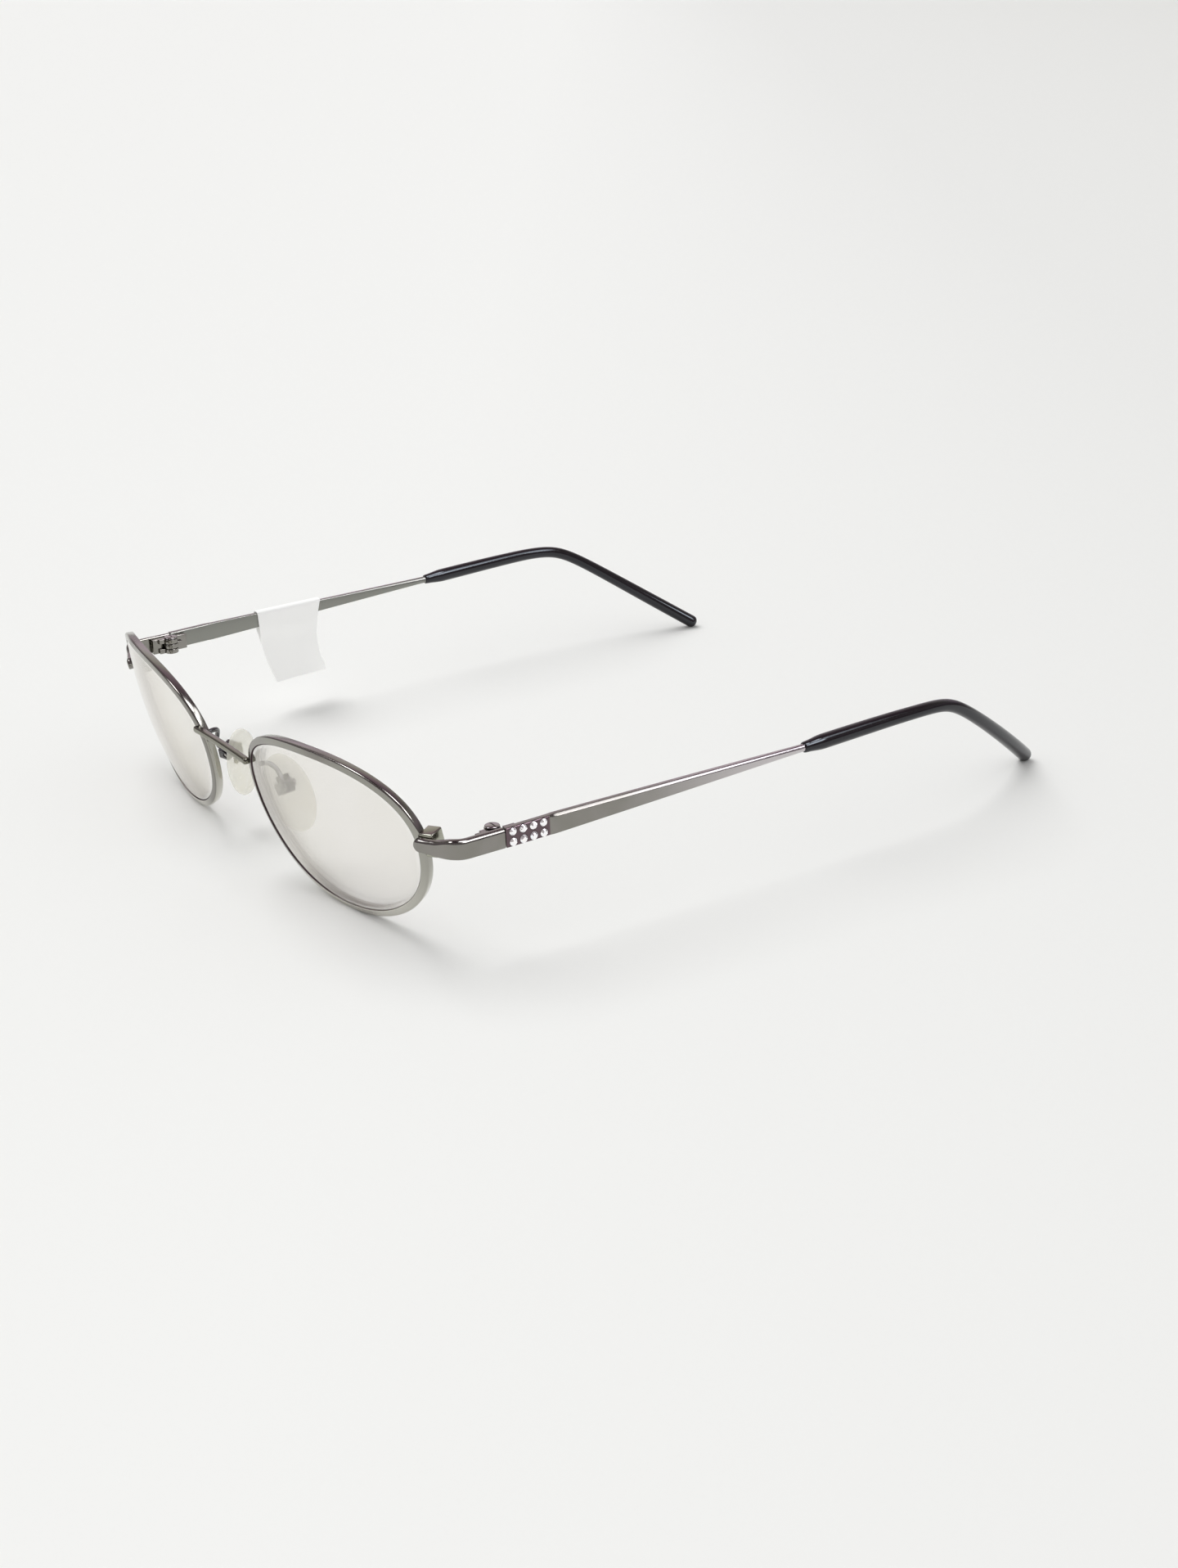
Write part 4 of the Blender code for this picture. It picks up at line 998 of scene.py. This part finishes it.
def make_nose_pad():
    """Soft oval pad with a crowned face and a pocket in its back for the tab's foot."""
    centre = Vector((0, -PAD_THICKNESS / 2 - PIVOT_STAND, -PIVOT_RISE))
    rings = []
    for turn in spaced(-pi / 2 * 0.96, pi / 2 * 0.96, 25):
        full = cos(turn) ** 0.55
        depth = copysign(abs(sin(turn)) ** 0.8, sin(turn)) * PAD_THICKNESS / 2
        rings.append([centre + Vector((PAD_WIDTH / 2 * full * x, depth, PAD_LENGTH / 2 * full * y))
                      for x, y in circle(64)])
    side = FOOT_WIDTH / 2 + GAP
    up = FOOT_LENGTH / 2 + GAP
    depth = PIVOT_STAND + FOOT_DEPTH + GAP
    pocket = rounded_box((-side, -depth, -up), (side, 0, up), POCKET_ROUND)
    return placed(combined(skin(rings), [("DIFFERENCE", pocket)]), pad_frame())


def make_pad_tab():
    """Tab that stands in the pad's pocket and swings on the screw in the box."""
    half = TAB_THICKNESS / 2
    foot = rounded_box((-FOOT_WIDTH / 2, -PIVOT_STAND - FOOT_DEPTH, -FOOT_LENGTH / 2),
                       (FOOT_WIDTH / 2, -PIVOT_STAND, FOOT_LENGTH / 2), SMALL_ROUND)
    stem = rounded_box((-half, -PIVOT_STAND - FOOT_DEPTH / 2, -TAB_RADIUS), (half, 0, TAB_RADIUS), FIT_ROUND)
    eye = placed(drum(TAB_RADIUS, -half, half, KNUCKLE_ROUND), across_screw())
    steps = [("UNION", stem), ("UNION", eye), bored(PAD_PIN_RADIUS, 2 * half, across_screw())]
    return placed(combined(foot, steps), pad_frame())


def make_pad_box():
    """Box open towards the pad, with a cheek on each side of the tab."""
    up = BOX_HEIGHT / 2
    slot = TAB_THICKNESS / 2 + BOX_PLAY
    shell = rounded_box((-BOX_HALF, -BOX_LIP, -up), (BOX_HALF, BOX_BACK, up), BOX_ROUND)
    room = rounded_box((-slot, -2 * BOX_LIP, -2 * up), (slot, TAB_RADIUS + 2 * BOX_PLAY, 2 * up), FIT_ROUND)
    steps = [("DIFFERENCE", room), bored(PAD_PIN_RADIUS, 2 * BOX_HALF, across_screw())]
    return placed(combined(shell, steps), pad_frame())


def make_pad_arm():
    """Bent wire from the back of the rim to the far side of the pad box."""
    start = face_point(ARM_ANGLE, RIM_FACE / 2, RIM_DEPTH + GAP)
    backward = (start - face_point(ARM_ANGLE, RIM_FACE / 2, 0)).normalized()
    end = pad_frame() @ Vector((0, BOX_BACK + GAP, 0))
    outward = pad_frame().to_3x3() @ Vector((0, 1, 0))
    points = (start, start + backward * ARM_BACK, end + outward * ARM_CURL, end)
    path = [curve_point(points, share) for share in spaced(0, 1, 60)]
    return skin(swept(path, [circle(20, ARM_RADIUS)] * len(path)))


def make_tag():
    """Strip of paper folded over the temple, its leaves almost closed below it and curled at a corner."""
    room = TEMPLE_THICKNESS / 2 + TAG_ROOM + TAG_PAPER / 2
    centre = temple_point(TAG_START + TAG_WIDTH / 2).x
    top = temple_point(TAG_START).z + TEMPLE_HEIGHT / 2 * 0.86 + TAG_ROOM + TAG_PAPER / 2
    below = TEMPLE_HEIGHT / TAG_DROP
    falls = spaced(1, 0.05, 42)
    fold = [(room * sin(turn), room * (cos(turn) - 1) / 2) for turn in spaced(-1.2, 1.2, 11)]
    profile = [(-1, fall) for fall in falls] + [(0, point) for point in fold] + [(1, fall) for fall in falls[::-1]]
    bm = bmesh.new()
    grid = []
    for leaf, value in profile:
        row = []
        for across in spaced(0, 1, 31):
            along = TAG_START + TAG_WIDTH * across
            if leaf == 0:
                row.append(bm.verts.new((centre + value[0], along, top + value[1])))
                continue
            closing = min(max((value - below) / (1 - below), 0), 1)
            ease = min(closing * 3, 1)
            gap = room + (TAG_CLOSED - room) * ease * ease * (3 - 2 * ease)
            slant = TAG_SLANT * value ** 2 * (1 - across)
            wave = -TAG_WAVE * sin(pi * min(value * 1.12, 1)) * across
            flare = TAG_FLARE * max(0, value - 0.8) / 0.2 * across
            curl = TAG_CURL * closing ** 2 * across - TAG_SAG * sin(pi * closing) * across
            crease = TAG_CREASE * sin(9 * across + 5 * value) * closing
            row.append(bm.verts.new((centre + leaf * gap + curl + crease, along + slant + wave + flare,
                                     top - TAG_DROP * value)))
        grid.append(row)
    join_rings(bm, grid, closed=False)
    bmesh.ops.solidify(faced_out(bm), geom=bm.faces[:], thickness=TAG_PAPER)
    return faced_out(placed(bm, MIRRORED))


def dress():
    """Shows every piece in its finish."""
    gunmetal = metal("gunmetal", *GUNMETAL), "gunmetal"
    rim_metal = make_rim_metal(), "gunmetal"
    # Painted light: the closing blocks get a lighter, greener copy of the gunmetal
    lit_block_metal = metal("lit_block_gunmetal", (0.370, 0.375, 0.305), (0.410, 0.410, 0.345), 0.14, 0.22), "gunmetal"
    # Painted shade: the pad arms and boxes get a darker copy of the gunmetal
    shaded_pad_metal = metal("shaded_pad_gunmetal", (0.120, 0.122, 0.128), (0.160, 0.160, 0.165), 0.14, 0.24), "gunmetal"
    steel = metal("screw_steel", (0.36, 0.35, 0.34), (0.46, 0.44, 0.43), 0.14, 0.26), "screw_steel"
    plastic = make_black_plastic(), "black_plastic"
    half = SPLIT_GAP / 2
    seat = BLOCK_FALL - HEAD_HEIGHT
    from_below = Matrix.Translation((0, 0, -seat)) @ Matrix.Rotation(pi, 4, "X")
    closing_screw = placed(make_screw(PIN_RADIUS, CLOSING_HEAD_RADIUS, HEAD_HEIGHT, seat + CLOSING_CLIMB),
                           block_frame() @ closing_axis() @ from_below)
    hinge_screw = placed(make_screw(PIN_RADIUS, HINGE_HEAD_RADIUS, HEAD_HEIGHT, HINGE_HEIGHT + GAP),
                         Matrix.Translation(hinge_axis() + UP * (HINGE_HEIGHT / 2 + GAP)))
    pad_screw = placed(make_screw(PAD_PIN_RADIUS, PAD_HEAD_RADIUS, PAD_HEAD_HEIGHT, 2 * BOX_HALF),
                       pad_frame() @ across_screw() @ Matrix.Translation((0, 0, BOX_HALF + GAP)))
    for body, pieces in (
        ("front", (
            ("rim", make_rim(), rim_metal),
            ("lens", make_lens(), (make_lens_material(), "tinted_lens")),
            ("closing_block_upper", make_closing_block(half, BLOCK_RISE - BLOCK_TRIM), lit_block_metal),
            ("closing_block_lower", make_closing_block(-BLOCK_FALL, -half), lit_block_metal),
            ("closing_screw", closing_screw, steel),
            ("end_piece", make_end_piece(), gunmetal),
            ("hinge_front", make_hinge_half(-1, (-1, 1)), gunmetal),
            ("hinge_screw", hinge_screw, steel),
            ("pad_arm", make_pad_arm(), shaded_pad_metal),
            ("pad_box", make_pad_box(), shaded_pad_metal),
            ("pad_screw", pad_screw, steel),
        )),
        ("pad", (
            ("nose_pad", make_nose_pad(), (make_silicone(), "clear_silicone")),
            ("pad_tab", make_pad_tab(), plastic),
        )),
        ("temple", (
            ("temple_bar", make_temple_bar(), (make_temple_metal(), "gunmetal")),
            ("hinge_temple", make_hinge_half(1, (0,)), gunmetal),
            ("temple_tip", make_temple_tip(), plastic),
        )),
    ):
        for name, shape, finished in pieces:
            show_pair(name, shape, body, finished)
    stone = make_crystal_material(), "crystal"
    for number, matrix in enumerate(crystal_frames(), start=1):
        shape = placed(make_crystal(), matrix @ Matrix.Rotation(number * CRYSTAL_TURN, 4, "Z"))
        show_pair("crystal", shape, "temple", stone, f"_{number}", smooth=False)
    # Painted shade: the bridge gets a darker, olive copy of the gunmetal
    shaded_bridge_metal = metal("shaded_bridge_gunmetal", (0.205, 0.203, 0.158), (0.240, 0.236, 0.195))
    show("bridge", placed(make_bridge(), SHIFTED), "front", (shaded_bridge_metal, "gunmetal"))
    show("paper_tag", make_tag(), "temple_right", (make_paper(), "white_paper"))


def make_floor():
    """Pale floor with painted shade that darkens it a little into the distance on the right."""
    bm = bmesh.new()
    bmesh.ops.create_grid(bm, x_segments=2, y_segments=2, size=FLOOR_SIZE)
    floor = add_object("floor", to_mesh(bm, "floor"))
    material, tree, inputs = new_material("floor", (0.90, 0.90, 0.885), 0.0, 0.9)
    inputs["Specular IOR Level"].default_value = 0.1
    along = share_along(node(tree, "ShaderNodeTexCoord")["Object"], (0.55, 0.83, 0))
    tree.links.new(ramp(spread(along, 0, 1, -0.4, 0.9), FLOOR_FALLOFF_STOPS), inputs["Base Color"])
    floor.data.materials.append(material)


def glow(tree, colour, strength=1.0):
    """Even light of a colour and a strength."""
    return node(tree, "ShaderNodeBackground", {"Color": colour, "Strength": strength})["Background"]


def make_reflected_room(tree):
    """Light of the room in reflections: a dim warm ceiling, a bright window and round lamps."""
    towards = node(tree, "ShaderNodeTexCoord")["Generated"]
    across, back, up = node(tree, "ShaderNodeSeparateXYZ", {"Vector": towards})
    corner = product(smooth_step(across, 0.2, -0.5), smooth_step(back, -0.3, 0.1), 0.65)
    bright = product(smooth_step(up, 0.62, 0.70), smooth_step(up, 0.88, 0.80), smooth_step(across, 0.20, 0.30),
                     smooth_step(back, 0.36, 0.47), smooth_step(back, 0.62, 0.54), WINDOW_LIGHT)
    for lamp, faint, full in LAMPS:
        disc = smooth_step(share_along(towards, Vector(lamp).normalized()), faint, full)
        bright = maths("ADD", bright, product(disc, LAMP_LIGHT))
    dim = glow(tree, ramp(up, ROOM_STOPS), maths("ADD", 0.35, corner))
    lit = glow(tree, (0.95, 0.95, 1.0, 1), bright)
    return node(tree, "ShaderNodeAddShader", {0: dim, 1: lit})["Shader"]


def make_room():
    """Soft room: an even fill for the surfaces and its own light for reflections."""
    world = bpy.data.worlds.new("room")
    SCENE.world = world
    world.use_nodes = True
    tree = world.node_tree
    tree.nodes.clear()
    ray = node(tree, "ShaderNodeLightPath")
    seen = glow(tree, (0.88, 0.88, 0.87, 1))
    fill = glow(tree, (1, 1, 1, 1), FILL_LIGHT)
    around = {"Fac": ray["Is Glossy Ray"], 1: fill, 2: make_reflected_room(tree)}
    around = node(tree, "ShaderNodeMixShader", around)["Shader"]
    straight = maths("MAXIMUM", ray["Is Camera Ray"], ray["Is Transmission Ray"])
    final = node(tree, "ShaderNodeMixShader", {"Fac": straight, 1: around, 2: seen})["Shader"]
    node(tree, "ShaderNodeOutputWorld", {"Surface": final})


def make_sun():
    """Broad soft light, even over the whole floor."""
    light = bpy.data.lights.new("key_light", "SUN")
    light.angle = SUN_WIDTH
    light.energy = SUN_LIGHT
    sun = add_object("key_light", light)
    sun.rotation_euler = Vector(SUN_TOWARDS).to_track_quat("Z", "Y").to_euler()
    sun.visible_glossy = False


def make_camera():
    """Camera at the photograph's viewing angle."""
    data = bpy.data.cameras.new("camera")
    data.sensor_width = 36
    data.lens = CAMERA_LENS
    data.clip_start = 0.01
    data.clip_end = 50
    camera = add_object("camera", data)
    camera.matrix_world = axes_frame(CAMERA_RIGHT, -CAMERA_DOWN, -CAMERA_AHEAD, CAMERA_PLACE + SHIFT)
    SCENE.camera = camera


make_camera()
dress()
make_floor()
make_room()
make_sun()
SCENE.view_settings.view_transform = "Standard"
bpy.context.view_layer.update()
